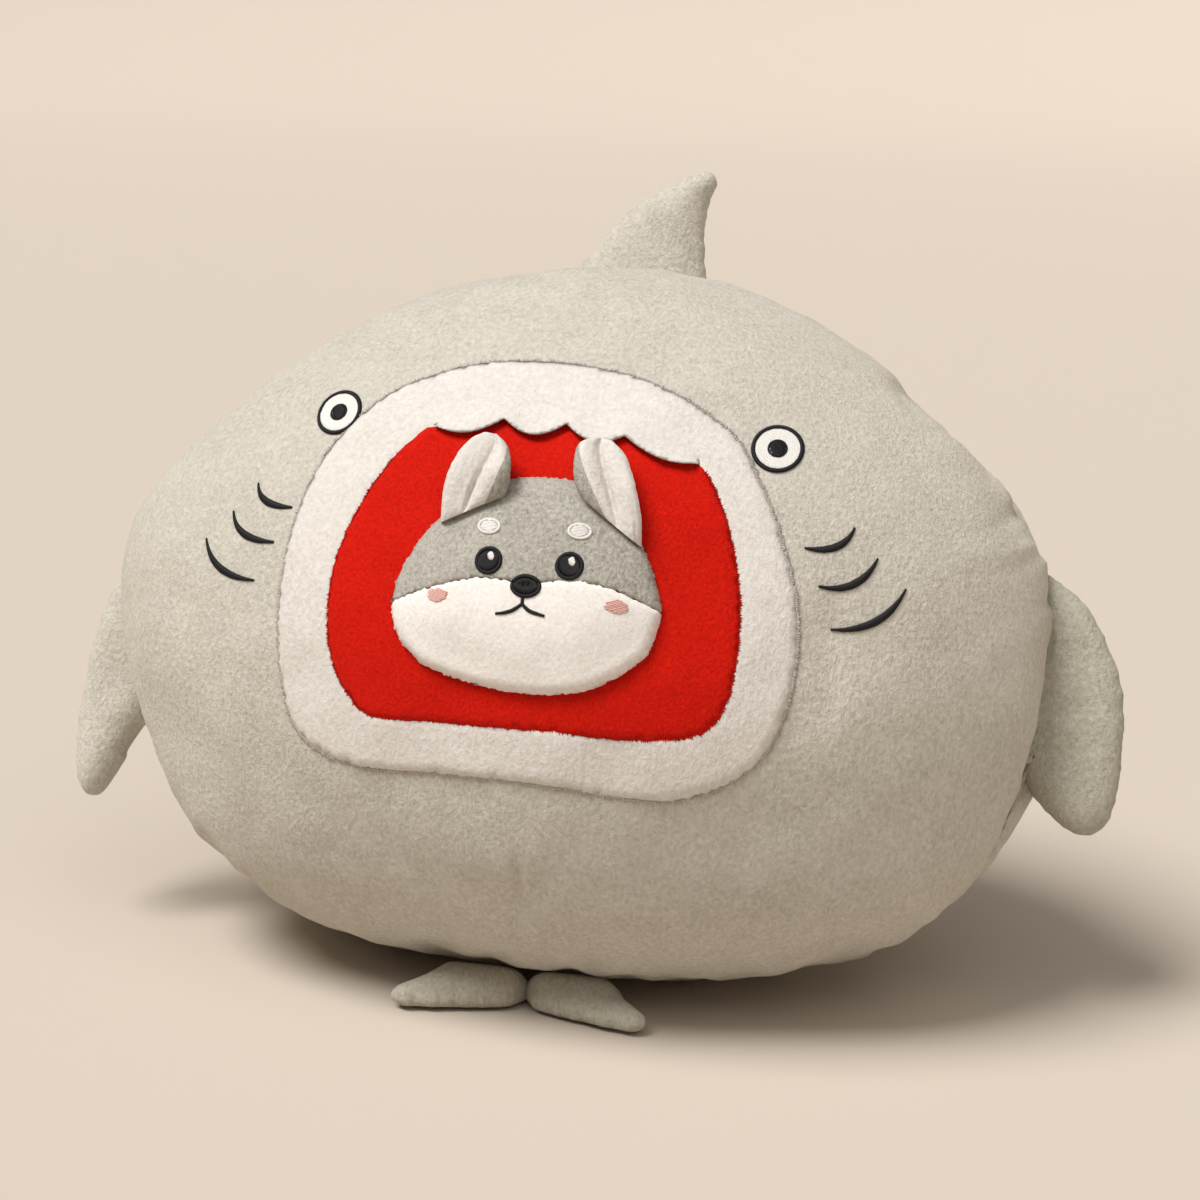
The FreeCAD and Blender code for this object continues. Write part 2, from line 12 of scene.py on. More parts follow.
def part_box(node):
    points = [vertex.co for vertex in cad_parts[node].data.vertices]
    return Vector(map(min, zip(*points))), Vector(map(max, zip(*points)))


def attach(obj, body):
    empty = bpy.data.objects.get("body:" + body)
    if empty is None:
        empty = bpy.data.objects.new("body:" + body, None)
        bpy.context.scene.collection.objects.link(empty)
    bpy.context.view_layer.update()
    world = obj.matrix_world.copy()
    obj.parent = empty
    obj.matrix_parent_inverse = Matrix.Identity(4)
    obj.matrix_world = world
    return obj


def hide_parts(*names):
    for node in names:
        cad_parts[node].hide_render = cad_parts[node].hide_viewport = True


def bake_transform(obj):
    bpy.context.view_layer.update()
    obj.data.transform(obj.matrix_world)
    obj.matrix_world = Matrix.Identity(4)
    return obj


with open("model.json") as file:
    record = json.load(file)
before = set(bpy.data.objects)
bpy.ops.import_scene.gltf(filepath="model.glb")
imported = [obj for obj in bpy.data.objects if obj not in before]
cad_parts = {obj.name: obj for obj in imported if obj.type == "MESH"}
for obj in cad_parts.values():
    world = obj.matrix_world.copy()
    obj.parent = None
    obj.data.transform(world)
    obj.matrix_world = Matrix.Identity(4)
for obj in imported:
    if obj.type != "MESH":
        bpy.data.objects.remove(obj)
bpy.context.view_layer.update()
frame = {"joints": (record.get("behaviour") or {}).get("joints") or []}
scene = bpy.context.scene
scene.view_settings.view_transform = "Standard"

MM = 0.001
FLOOR_CLEARANCE = 0.2 * MM
SEED = 7

# ---- the cushion's own frame, read from the joints ----
# X to the viewer's right, Z up the seam plane, Y backwards. Lengths below are in mm.

joints = {joint["name"]: joint for joint in frame["joints"]}
flap_left = joints["pectoral_fin_left_flap"]
flap_right = joints["pectoral_fin_right_flap"]
UP = Vector(flap_left["axis"]).normalized()
ACROSS = Vector((1, 0, 0))
BACK = UP.cross(ACROSS)
CENTRE = (Vector(flap_left["pos_m"]) + Vector(flap_right["pos_m"])) / 2
TURN = np.array([ACROSS, BACK, UP])
low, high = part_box("body_front_panel")
HALF_WIDTH = (high.x - low.x) / 2 / MM
HALF_DEPTH = 128.0
HALF_HEIGHT = 160.0


def to_world(points):
    """Cushion millimetres to row-frame metres."""
    return np.asarray(points, float) @ TURN * MM + np.array(CENTRE)


def to_cushion(points):
    """Row-frame metres to cushion millimetres."""
    return (np.asarray(points, float) - np.array(CENTRE)) @ TURN.T / MM


# ---- meshes ----


def make_object(name, points, faces, closed=False):
    """A smooth-shaded mesh object from world points and faces."""
    mesh = bpy.data.meshes.new(name)
    mesh.from_pydata([tuple(p) for p in points], [], [tuple(f) for f in faces])
    if closed:
        work = bmesh.new()
        work.from_mesh(mesh)
        bmesh.ops.recalc_face_normals(work, faces=work.faces)
        work.to_mesh(mesh)
        work.free()
    mesh.update()
    mesh.polygons.foreach_set("use_smooth", [True] * len(mesh.polygons))
    obj = bpy.data.objects.new(name, mesh)
    scene.collection.objects.link(obj)
    return obj


def read(mesh, what="co"):
    """The places of a mesh's vertices, or their normals."""
    values = np.empty(len(mesh.vertices) * 3)
    mesh.vertices.foreach_get(what, values)
    return values.reshape(-1, 3)


def write_points(obj, points):
    obj.data.vertices.foreach_set("co", np.asarray(points, float).ravel())
    obj.data.update()


def subdivide(obj):
    """Applies one level of a subdivision surface."""
    obj.modifiers.new("smooth", "SUBSURF").levels = 1
    apply_modifiers(obj)


def apply_modifiers(obj):
    graph = bpy.context.evaluated_depsgraph_get()
    mesh = bpy.data.meshes.new_from_object(obj.evaluated_get(graph))
    obj.modifiers.clear()
    obj.data = mesh
    mesh.polygons.foreach_set("use_smooth", [True] * len(mesh.polygons))


CLOTH = {
    "quality": 6, "mass": 0.2, "tension_stiffness": 20, "compression_stiffness": 20,
    "shear_stiffness": 8, "bending_stiffness": 0.4, "use_pressure": True,
}
CLOTH_FRAMES = 20


def inflate(obj, sewn, pressure, growth, cap):
    """Blows a skin up by cloth simulation, held where it is sewn, by no more than cap mm."""
    start = read(obj.data)
    group = obj.vertex_groups.new(name="sewn")
    group.add([int(i) for i in sewn], 1.0, "REPLACE")
    cloth = obj.modifiers.new("Cloth", "CLOTH")
    settings = cloth.settings
    for key, value in CLOTH.items():
        setattr(settings, key, value)
    settings.uniform_pressure_force = pressure
    settings.shrink_min = -growth
    settings.vertex_group_mass = "sewn"
    settings.effector_weights.gravity = 0
    cloth.collision_settings.use_collision = False
    cloth.point_cache.frame_end = CLOTH_FRAMES
    for number in range(1, CLOTH_FRAMES + 1):
        scene.frame_set(number)
    graph = bpy.context.evaluated_depsgraph_get()
    moved = read(obj.evaluated_get(graph).to_mesh()) - start
    length = np.linalg.norm(moved, axis=1, keepdims=True)
    limit = cap * MM
    eased = limit * np.tanh(length / limit)
    obj.modifiers.clear()
    obj.vertex_groups.clear()
    write_points(obj, start + moved * eased / np.maximum(length, 1e-9))
    scene.frame_set(1)


def fractal(points, size, seed=0.0, octaves=3):
    """Smooth noise from -1 to 1 at world points, with features of a size in mm."""
    offset = Vector((seed, seed * 1.7, seed * 0.3))
    scale = 1 / (size * MM)
    return np.array(
        [noise.fractal(Vector(p) * scale + offset, 1.0, 2.0, octaves) for p in points]
    )


def ripple(places, size, seed, octaves=2):
    """The same noise at flat (x, z) places in mm."""
    return fractal(np.column_stack([places, np.zeros(len(places))]) * MM, size, seed, octaves)


def dome(part):
    """The rise of a quarter circle from 0 to 1."""
    return np.sqrt(1 - (1 - part) ** 2)


def bell(value, width):
    """A smooth hump that is 1 where value is 0."""
    return np.exp(-((value / width) ** 2))


# ---- materials ----


def new_material(name):
    material = bpy.data.materials.new(name)
    material.use_nodes = True
    tree = material.node_tree
    shader = tree.nodes["Principled BSDF"]
    return material, tree, shader


def node(tree, kind, out, inputs, **options):
    """One output of a new shader node. An input may be a value, or a socket to link."""
    made = tree.nodes.new("ShaderNode" + kind)
    for key, value in options.items():
        setattr(made, key, value)
    for key, value in inputs.items():
        if isinstance(value, bpy.types.NodeSocket):
            tree.links.new(value, made.inputs[key])
        else:
            made.inputs[key].default_value = value
    return made.outputs[out]


def speckle(tree, place, scale, detail, roughness=0.5, distortion=0.0):
    """Noise over a surface, from 0 to 1."""
    return node(
        tree, "TexNoise", "Fac",
        {"Vector": place, "Scale": scale, "Detail": detail, "Roughness": roughness,
         "Distortion": distortion},
    )


def mix(tree, factor, a, b, kind="FLOAT"):
    return node(tree, "Mix", "Result", {"Factor": factor, "A": a, "B": b}, data_type=kind)


def stretch(tree, value, low, high):
    """A value from low to high made to run from 0 to 1."""
    return node(tree, "MapRange", "Result", {"Value": value, "From Min": low, "From Max": high})


def weigh(tree, value, share, rest=0.0):
    """rest + value * share."""
    return node(tree, "Math", 0, {0: value, 1: share, 2: rest}, operation="MULTIPLY_ADD")


def finish_shader(tree, shader, colour, height, strength, distance, roughness, specular):
    """Links a colour and a bump, and sets the constants on the shader's own sockets."""
    tree.links.new(colour, shader.inputs["Base Color"])
    bump = node(
        tree, "Bump", "Normal", {"Height": height, "Strength": strength, "Distance": distance}
    )
    tree.links.new(bump, shader.inputs["Normal"])
    shader.inputs["Roughness"].default_value = roughness
    shader.inputs["Specular IOR Level"].default_value = specular


def linear(red, green, blue):
    """A colour given as 0 to 255 screen values, as linear RGBA."""
    parts = [c / 255 for c in (red, green, blue)]
    return [p / 12.92 if p <= 0.04045 else ((p + 0.055) / 1.055) ** 2.4 for p in parts] + [1.0]


# How much tufts and patches count in the tone beside the combed strands, and its spread.
TUFT_SHARE = 0.6
PATCH_SHARE = 0.14
TONE_SPREAD = 0.16
PILE_BUMP = 1.3 * MM


def plush(name, light, dark, pile=1.0, sheen=0.35, streak=0.5, relief=0.8):
    """Brushed pile, pile mm long: mottled tone, combed streaks and a soft bump."""
    material, tree, shader = new_material(name)
    place = node(tree, "TexCoord", "Object", {})
    combed = []
    for angle in (0.5, -0.7):
        turned = node(
            tree, "Mapping", "Vector",
            {"Vector": place, "Rotation": (0.2, angle, 0.4), "Scale": (1.0, 0.9, 0.5)},
        )
        combed.append(speckle(tree, turned, 700.0 / pile, 4.0, 0.65, 0.3))
    choice = stretch(tree, speckle(tree, place, 22.0, 3.0), 0.42, 0.58)
    strands = mix(tree, choice, *combed)
    tufts = speckle(tree, place, 460.0 / pile, 4.0, 0.7)
    patches = speckle(tree, place, 45.0, 4.0, 0.6, 0.8)
    tone = weigh(tree, tufts, TUFT_SHARE, weigh(tree, strands, streak))
    tone = weigh(tree, patches, PATCH_SHARE, tone)
    middle = (streak + TUFT_SHARE + PATCH_SHARE) / 2
    tone = stretch(tree, tone, middle - TONE_SPREAD, middle + TONE_SPREAD)
    colour = mix(tree, tone, dark, light, "RGBA")
    height = weigh(tree, tufts, 0.7, strands)
    finish_shader(tree, shader, colour, height, relief, PILE_BUMP * pile, 0.95, 0.15)
    shader.inputs["Sheen Weight"].default_value = sheen
    shader.inputs["Sheen Roughness"].default_value = 0.45
    shader.inputs["Sheen Tint"].default_value = light
    return material


def thread_material(name, colour):
    """Satin-stitch thread: a slight twist and a silky shine."""
    material, tree, shader = new_material(name)
    twist = speckle(tree, node(tree, "TexCoord", "Object", {}), 2600.0, 2.0)
    dark = [c * 0.72 for c in colour[:3]] + [1.0]
    mixed = mix(tree, twist, dark, colour, "RGBA")
    finish_shader(tree, shader, mixed, twist, 0.4, 0.1 * MM, 0.58, 0.28)
    return material


GREY = plush("grey_plush", linear(212, 207, 196), linear(178, 172, 159))
# A darker copy of the grey plush: painted shade for the right fin and the flukes, which lie in
# shadow.
SHADED_FIN_GREY = plush("shaded_fin_plush", linear(193, 189, 175), linear(158, 153, 138))
FACE_GREY = plush("face_grey_plush", linear(196, 192, 182), linear(140, 136, 125), 0.8)
WHITE = plush("white_plush", linear(225, 220, 214), linear(202, 195, 187), 1.1, 0.3, relief=0.5)
MUZZLE_WHITE = plush(
    "muzzle_plush", linear(241, 237, 232), linear(222, 216, 209), 0.8, 0.3, relief=0.35
)
RED = plush("red_plush", linear(216, 27, 5), linear(180, 13, 3), 0.7, 0.08)
THREADS = {
    "black_thread": linear(27, 26, 28), "white_thread": linear(240, 237, 232),
    "pink_thread": linear(238, 190, 180),
}
THREADS = {name: thread_material(name, colour) for name, colour in THREADS.items()}


def finish_piece(obj, material, slot, body, *nodes, fill=None):
    """Material, what it rides on and the CAD nodes it stands for, which it hides. The slot and the
    padding (fill) are not used.
    """
    obj.data.materials.clear()
    obj.data.materials.append(material)
    if body:
        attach(obj, body)
    if nodes:
        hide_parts(*nodes)


# ---- flat outlines ----


def catmull(p0, p1, p2, p3, t):
    """Points of a Catmull-Rom curve at t between p1 and p2."""
    return 0.5 * (
        2 * p1 + (p2 - p0) * t + (2 * p0 - 5 * p1 + 4 * p2 - p3) * t**2
        + (3 * p1 - p0 - 3 * p2 + p3) * t**3
    )


def smooth_loop(points, steps=10):
    """A closed smooth curve through points."""
    points = np.asarray(points, float)
    before, after, beyond = (np.roll(points, n, 0) for n in (1, -1, -2))
    part = np.linspace(0, 1, steps, endpoint=False)
    curve = [catmull(before, points, after, beyond, t) for t in part]
    return np.stack(curve, 1).reshape(-1, 2)


def resample(points, spacing):
    """Evenly spaced points round a closed outline."""
    closed = np.vstack([points, points[:1]])
    along = np.concatenate([[0], np.cumsum(np.linalg.norm(np.diff(closed, axis=0), axis=1))])
    count = max(12, int(round(along[-1] / spacing)))
    places = np.linspace(0, along[-1], count, endpoint=False)
    return np.stack([np.interp(places, along, closed[:, i]) for i in (0, 1)], -1)


def along_line(points, t):
    """A smooth curve through points at parameters from 0 to 1."""
    points = np.asarray(points, float)
    last = len(points) - 1
    place = np.clip(t, 0, 1) * last
    i = np.minimum(place.astype(int), last - 1)
    f = (place - i)[:, None]
    return catmull(*(points[np.clip(i + k, 0, last)] for k in (-1, 0, 1, 2)), f)


class Edge:
    """How places lie to an outline: distance, nearest point on it and length along it."""

    def __init__(self, places, outline):
        step = np.roll(outline, -1, 0) - outline
        length = np.maximum(np.linalg.norm(step, axis=1), 1e-9)
        passed = np.concatenate([[0], np.cumsum(length)[:-1]])
        self.distance = np.full(len(places), np.inf)
        self.nearest = np.zeros((len(places), 2))
        self.along = np.zeros(len(places))
        for a, d, full, before in zip(outline, step, length, passed):
            t = np.clip(((places - a) @ d) / full**2, 0, 1)
            foot = a + t[:, None] * d
            gap = np.linalg.norm(places - foot, axis=1)
            closer = gap < self.distance
            self.distance[closer] = gap[closer]
            self.nearest[closer] = foot[closer]
            self.along[closer] = before + t[closer] * full


def inside(places, outline):
    """Whether each place lies inside an outline."""
    x, z = places.T
    hit = np.zeros(len(places), bool)
    for (x0, z0), (x1, z1) in zip(outline, np.roll(outline, -1, 0)):
        if z0 == z1:
            continue
        crosses = (z0 > z) != (z1 > z)
        hit ^= crosses & (x < x0 + (z - z0) * (x1 - x0) / (z1 - z0))
    return hit


def fill_outline(outline, spacing):
    """Triangles inside an outline: (places, faces, border count), border first."""
    low, high = outline.min(0), outline.max(0)
    xs = np.arange(low[0], high[0], spacing)
    zs = np.arange(low[1], high[1], spacing * 0.87)
    inner = np.array(
        [(x + (row % 2) * spacing / 2, z) for row, z in enumerate(zs) for x in xs]
    )
    inner += np.random.default_rng(SEED).uniform(-0.12, 0.12, inner.shape) * spacing
    keep = inside(inner, outline) & (Edge(inner, outline).distance > spacing * 0.45)
    places = np.vstack([outline, inner[keep]])
    count = len(outline)
    edges = [(i, (i + 1) % count) for i in range(count)]
    verts, _, faces, _, _, _ = delaunay_2d_cdt(
        [Vector(p) for p in places], edges, [], 1, 1e-6, False
    )
    verts = np.array([tuple(v) for v in verts])
    middles = verts[np.array(faces)].mean(axis=1)
    kept = inside(middles, outline)
    return verts, [tuple(f) for f, good in zip(faces, kept) if good], count


def closed_shell(upper, lower, faces, count):
    """Points and faces of two sheets joined along their first count points."""
    total = len(upper)
    below = {i: i if i < count else total + i - count for i in range(total)}
    flipped = [tuple(below[n] for n in face[::-1]) for face in faces]
    return np.vstack([upper, lower[count:]]), list(faces) + flipped


# ---- the stuffed cushion ----

# The disc's middle is a block of CORE by CORE quads, with RINGS rings of quads round it.
CORE = 56
CORE_SIZE = 0.45
RINGS = 38
# In mm: how deep the seam is sunk, and how much smaller the skin is before it is filled.
SEAM_DEPTH = 5.0
SLACK = 3.5
SEAM_RADIUS = 190


def disc_grid():
    """A unit disc of quads, square in the middle: (places, faces, rim vertex numbers)."""
    steps = np.linspace(-1, 1, CORE + 1)
    u, v = np.meshgrid(steps, steps)
    rounded = np.stack([u * np.sqrt(1 - v**2 / 2), v * np.sqrt(1 - u**2 / 2)], -1)
    square = np.stack([u, v], -1)
    core = CORE_SIZE * (0.42 * square + 0.5 * rounded)
    index = np.arange((CORE + 1) ** 2).reshape(CORE + 1, CORE + 1)
    faces = grid_faces(index)
    ring = border(index)
    angles = -0.75 * math.pi + np.arange(4 * CORE) * (math.pi / 2 / CORE)
    rim = np.stack([np.cos(angles), np.sin(angles)], -1)
    places = [core.reshape(-1, 2)]
    inner = core.reshape(-1, 2)[ring]
    for number in range(1, RINGS + 1):
        part = 1 - (1 - number / RINGS) ** 1.25
        places.append(inner * (1 - part) + rim * part)
        outer = np.arange(4 * CORE) + len(index.ravel()) + (number - 1) * 4 * CORE
        ahead = (np.arange(4 * CORE) + 1) % (4 * CORE)
        quads = np.stack([ring, outer, outer[ahead], ring[ahead]], -1)
        faces += [tuple(int(n) for n in quad[::-1]) for quad in quads]
        ring = outer
    return np.vstack(places), faces, ring


def border(index):
    """The outer vertex numbers of a grid, in order round it."""
    return np.concatenate([index[0, :-1], index[:-1, -1], index[-1, :0:-1], index[:0:-1, 0]])


def grid_faces(index):
    """Quads of a grid of vertex numbers."""
    corners = [index[:-1, :-1], index[:-1, 1:], index[1:, 1:], index[1:, :-1]]
    return [tuple(int(n) for n in quad) for quad in np.stack(corners, -1).reshape(-1, 4)]


# Angle round the seam in degrees, and how far the filled outline stands proud there in mm.
OUTLINE = [
    (-180, 0.5), (-170, -1), (-162, -3), (-155, -1.5), (-149, 2), (-141, 5.6), (-132, 8.5),
    (-123, 6), (-114, 4), (-106, 2), (-96, -0.2), (-86, 0), (-72, 2), (-64, 3.6), (-58, 5.4),
    (-52, 8.5), (-46, 10.5), (-40, 10.2), (-30, 6.4), (-22, 4), (-12, 2.4), (0, 0), (10, 0),
    (20, 0.6), (30, 0.8), (40, 0), (50, 1.4), (58, 4.4), (68, 7.2), (76, 9.8), (84, 10.6),
    (92, 11), (100, 7.4), (108, 4.4), (115, 2.4), (122, -0.2), (130, -1.8), (142, -2.8),
    (151, -2), (158, 1.2), (164, 4), (170, 4), (175, 2.6),
]
BELLY_TUCK = 9.0


def swell(points):
    """How far the real outline stands proud of the plain ellipsoid, in mm, by place."""
    x, y, z = points.T
    angle = np.degrees(np.arctan2(z / HALF_HEIGHT, x / HALF_WIDTH))
    out = np.interp(angle, *zip(*OUTLINE), period=360)
    rim = np.clip(1 - (y / (0.75 * HALF_DEPTH)) ** 2, 0, 1)
    low = np.clip(-z / HALF_HEIGHT, 0, 1) ** 3 * np.exp(-((x / 190) ** 4))
    front = np.clip((45 - y) / 60, 0, 1)
    return out * rim - BELLY_TUCK * low * front * front * (3 - 2 * front)


def make_cushion():
    """Front and back panels, sewn along a sunken seam, filled and pressed flat on the floor."""
    disc, disc_faces, rim = disc_grid()
    count = len(disc)
    radius = np.clip(np.linalg.norm(disc, axis=1), 0, 1)
    turn = np.arctan2(disc[:, 1], disc[:, 0])
    lift = (1 - radius) * math.pi / 2
    ring = np.cos(lift)
    x, z = HALF_WIDTH * ring * np.cos(turn), HALF_HEIGHT * ring * np.sin(turn)
    front, back = (np.stack([x, way * HALF_DEPTH * np.sin(lift), z], -1) for way in (-1, 1))
    others = np.setdiff1d(np.arange(count), rim)
    renumber = np.arange(count)
    renumber[others] = count + np.arange(len(others))
    points = np.vstack([front, back[others]])
    back_faces = [tuple(int(renumber[n]) for n in face[::-1]) for face in disc_faces]
    start = points * (1 - SLACK / HALF_HEIGHT)
    start[rim] = points[rim] * (1 - SEAM_DEPTH / HALF_HEIGHT)
    radial = points / np.linalg.norm(points, axis=1, keepdims=True)
    start += radial * swell(points)[:, None]
    body = make_object("cushion_skin", to_world(start), disc_faces + back_faces, closed=True)
    resting = np.where(to_world(points)[:, 2] < 3 * MM)[0]
    inflate(body, np.union1d(rim, resting), pressure=2.5, growth=0.03, cap=7.0)
    subdivide(body)
    gather_seam(body)
    rest_on_floor(body)
    return body, len(disc_faces)


# Angle round the seam in degrees, width and length of each pinch in mm, and its depth.
PINCHES = [
    (27.5, 4.4, 36, 3.0), (20.5, 4.8, 34, 3.4), (13, 4.4, 26, 2.2), (34, 4.4, 24, 1.4),
    (-14, 4.5, 18, 2.0), (171, 4.2, 16, 1.6), (187, 5, 26, 4.5),
]
# Where the front panel is drawn in beside a fin: angle, width in degrees and depth in mm.
ARMPITS = [(-9, 18, 10.5), (194, 13, 6)]
# Small tucks on the belly: place on the face, width, length and depth in mm.
TUCKS = [((1, -103), 2.2, 9, 2.4), ((-1.5, -118), 4, 12, 1.2)]


def gather_seam(body):
    """Short folds along the seam that fade out away from it, deeper at the shoulders."""
    points = to_cushion(read(body.data))
    normals = read(body.data, "normal") @ TURN.T
    x, y, z = points.T
    angle = np.arctan2(z / HALF_HEIGHT, x / HALF_WIDTH)
    degrees = np.degrees(angle)
    distance = np.abs(y)
    front = y < 0
    places = np.stack([np.cos(angle) * 9, np.sin(angle) * 9, np.sign(y) * 3], -1)
    folds = fractal(places, 1 / MM, 3.0, 2)
    fine = fractal(places * 2.4, 1 / MM, 9.0, 2)
    shoulder = 1 + 0.7 * bell(degrees - 20, 16) + 0.8 * bell(np.abs(degrees) - 176, 14)
    fade = bell(distance, 36) * (1 - bell(distance, 6))
    depth = (1.7 * folds + 0.25 * fine) * shoulder * fade
    for where, width, length, amount in PINCHES:
        away = np.radians((degrees - where + 180) % 360 - 180) * SEAM_RADIUS
        bend = away + 0.25 * (distance - 10)
        fold = bell(bend, width) - 0.35 * bell(bend, 2.2 * width)
        depth -= amount * fold * bell(distance - 4, length) * front
    for where, width, amount in ARMPITS:
        turned = (degrees - where + 180) % 360 - 180
        depth -= amount * bell(turned, width) * bell(distance - 6, 24) * front
    soft = fractal(points * MM, 75, 21.0, 3) * 2.2
    depth += soft * (1 - bell(distance, 30))
    for (px, pz), width, length, amount in TUCKS:
        depth -= amount * bell(x - px, width) * bell(z - pz, length) * front
    write_points(body, to_world(points + normals * depth[:, None]))


def rest_on_floor(body):
    """Presses the underside flat on the floor with a soft edge."""
    points = read(body.data)
    edge = 3 * MM
    height = points[:, 2] - FLOOR_CLEARANCE
    points[:, 2] = 0.5 * (height + np.sqrt(height**2 + edge**2)) + FLOOR_CLEARANCE
    write_points(body, points)


def pick(name, points, faces):
    """An object of some of a mesh's faces, with only the points that they use."""
    used = sorted({n for face in faces for n in face})
    renumber = {old: new for new, old in enumerate(used)}
    return make_object(name, points[used], [tuple(renumber[n] for n in face) for face in faces])


def split_panels(body, front_faces):
    """Cuts the skin into its front and back panels, which meet in the seam."""
    points = read(body.data)
    faces = [tuple(p.vertices) for p in body.data.polygons]
    first_back = front_faces * 4
    bpy.data.objects.remove(body)
    front = pick("body_front", points, faces[:first_back])
    return front, pick("body_back", points, faces[first_back:])


def tree_of(*objects):
    """A search tree over several meshes."""
    points, faces = [], []
    for obj in objects:
        faces += [tuple(n + len(points) for n in p.vertices) for p in obj.data.polygons]
        points += [tuple(p) for p in read(obj.data)]
    return BVHTree.FromPolygons(points, faces)


skin, front_face_count = make_cushion()
skin_tree = tree_of(skin)
body_front, body_back = split_panels(skin, front_face_count)
finish_piece(
    body_front, GREY, "grey_plush", "cushion", "body_front_panel", "body_stuffing",
    "perimeter_seam_thread", fill=0.85,
)
finish_piece(body_back, GREY, "grey_plush", "cushion", "body_back_panel", fill=0.85)


# ---- cloth and thread laid on the face ----


def drape(flat, heights, tree=None):
    """World points in front of flat (x, z) places, at heights in mm off a surface."""
    tree = tree or skin_tree
    starts = to_world([(x, -400, z) for x, z in flat])
    made = []
    for start, height in zip(starts, heights):
        hit, normal, _, _ = tree.ray_cast(Vector(start), BACK)
        if hit is None:
            hit, normal, _, _ = tree.find_nearest(Vector(start) + BACK * 280 * MM)
        made.append(np.array(hit - BACK * (height * MM / max(abs(normal.dot(BACK)), 0.5))))
    return np.array(made)


def tufts(rim, height, length, spacing, top, rng):
    """Small pointed tufts of pile that stand out round an outline: (points, faces)."""
    rim = resample(rim, spacing)
    ahead = np.roll(rim, -1, 0) - np.roll(rim, 1, 0)
    ahead /= np.linalg.norm(ahead, axis=1, keepdims=True)
    out = np.stack([ahead[:, 1], -ahead[:, 0]], -1)
    if ((rim - rim.mean(0)) * out).sum() < 0:
        out = -out
    keep = rim[:, 1] < top
    rim, ahead, out = rim[keep], ahead[keep], out[keep]
    count = len(rim)
    reach = rng.uniform(0.3, 1, count)[:, None] * length
    lean = rng.normal(0, 0.55, count)[:, None]
    tips = rim + out * reach + ahead * lean * reach
    width = 0.3 * spacing + 0.25
    lift = np.full(count, height)
    up = rng.uniform(-0.2, 0.5, count)
    corners = [
        (rim - ahead * width - out * 0.6, lift), (rim + ahead * width - out * 0.6, lift),
        (rim - out * 1.1, lift + 0.5), (tips, lift + up),
    ]
    points = np.stack([drape(*corner) for corner in corners], 1).reshape(-1, 3)
    faces = []
    for n in range(count):
        a, b, c, d = range(4 * n, 4 * n + 4)
        faces += [(a, b, c), (a, d, b), (b, d, c), (c, d, a)]
    return points, faces


def lay(name, outline, upper, under, spacing=2.6, fuzz=0.3, tuft=None):
    """A closed piece of cloth over the face. upper and under give heights in mm from an Edge."""
    rng = np.random.default_rng(SEED + len(name))
    rim = resample(outline, spacing * 0.6)
    rim = rim + rng.normal(0, fuzz, rim.shape)
    places, faces, count = fill_outline(rim, spacing)
    edge = Edge(places, rim)
    points, faces = closed_shell(
        drape(places, upper(places, edge)), drape(places, under(places, edge)), faces, count
    )
    if tuft:
        more, extra = tufts(rim, *tuft, rng)
        faces += [tuple(n + len(points) for n in face) for face in extra]
        points = np.vstack([points, more])
    return make_object(name, points, faces, closed=True)


def rounded(base, top, rounding, wave, size, seed):
    """Heights of a flat patch with a rounded edge and soft ripples."""

    def height(places, edge):
        part = np.clip(edge.distance / rounding, 0, 1)
        return base + (top - base) * dome(part) + wave * ripple(places, size, seed)

    return height


def level(value):
    return lambda places, edge: np.full(len(places), value)


# Outlines on the face, as (x, z) in the cushion's frame.
LIP = [
    (0, 111), (25, 108), (46, 101.5), (62, 93), (75, 83.5), (86, 68), (96, 48), (103, 30),
    (107.5, 11), (107.5, -14), (102, -37), (92, -51), (78, -60), (60, -65.5), (41, -65.5),
    (18, -64), (-5, -63), (-32, -63), (-60, -63.5), (-81, -60), (-94.5, -51.5), (-102, -36.5),
    (-106, -14), (-107.5, 10), (-105, 33), (-99, 57), (-89.5, 75), (-73, 93.5), (-54, 103.5),
    (-27, 110),
]
LINING = [
    (0, 89), (34, 85), (54, 77), (62, 71), (68.5, 63.5), (75.5, 50), (81.5, 31.5), (85, 13),
    (85.5, -5), (83, -23.5), (76, -35.5), (62, -41), (44, -42), (22, -42), (-9, -42), (-40, -42),
    (-62.5, -42), (-73.5, -32.5), (-80, -20), (-83.5, -5), (-83, 14.5), (-78.5, 34), (-68, 58.5),
    (-55, 75.5), (-48, 79), (-32, 84),
]
HEAD = [
    (4, 59.5), (17, 58.5), (30, 52), (38, 44), (44.5, 35), (49, 27), (52, 19.5), (54.6, 10),
    (53.4, 0), (51.2, -7), (46.6, -12.2), (41, -17), (27, -24.5), (8, -27.5), (-14, -26),
    (-36.5, -20.5), (-45.6, -14.5), (-51.7, -7), (-54.4, 2.5), (-54, 11), (-52, 18), (-45, 32),
    (-37.6, 41.5), (-27, 51.5), (-15, 57), (-5, 59.3),
]
MUZZLE_LINE = [
    (-60, 0), (-53, 4.7), (-44, 8.9), (-30, 13.6), (-19, 16.2), (-12, 16.6), (-5, 16.0),
    (1.5, 14.8), (7.5, 16.4), (18.5, 18.2), (26, 17.9), (35, 16.4), (47, 12.2), (54.5, 9), (62, 5),
]
LIP_TOP = 2.2
LINING_TOP = 3.0

lip_outline = smooth_loop(LIP)
lining_outline = smooth_loop(LINING)
lining_rim = resample(lining_outline, 3.0)


def lip_height(places, edge):
    """Soft at its outer edge, level under the teeth and sunk under the lining."""
    calm = np.clip((78 - places[:, 1]) / 20, 0, 1)
    part = np.clip(edge.distance / 3.4, 0, 1)
    wave = ripple(places, 26, 4.0) * 0.5 * calm
    within = np.clip(Edge(places, lining_rim).distance / 4, 0, 1) * inside(places, lining_rim)
    return 0.1 + (LIP_TOP + wave - 0.1) * dome(part) - 1.6 * within


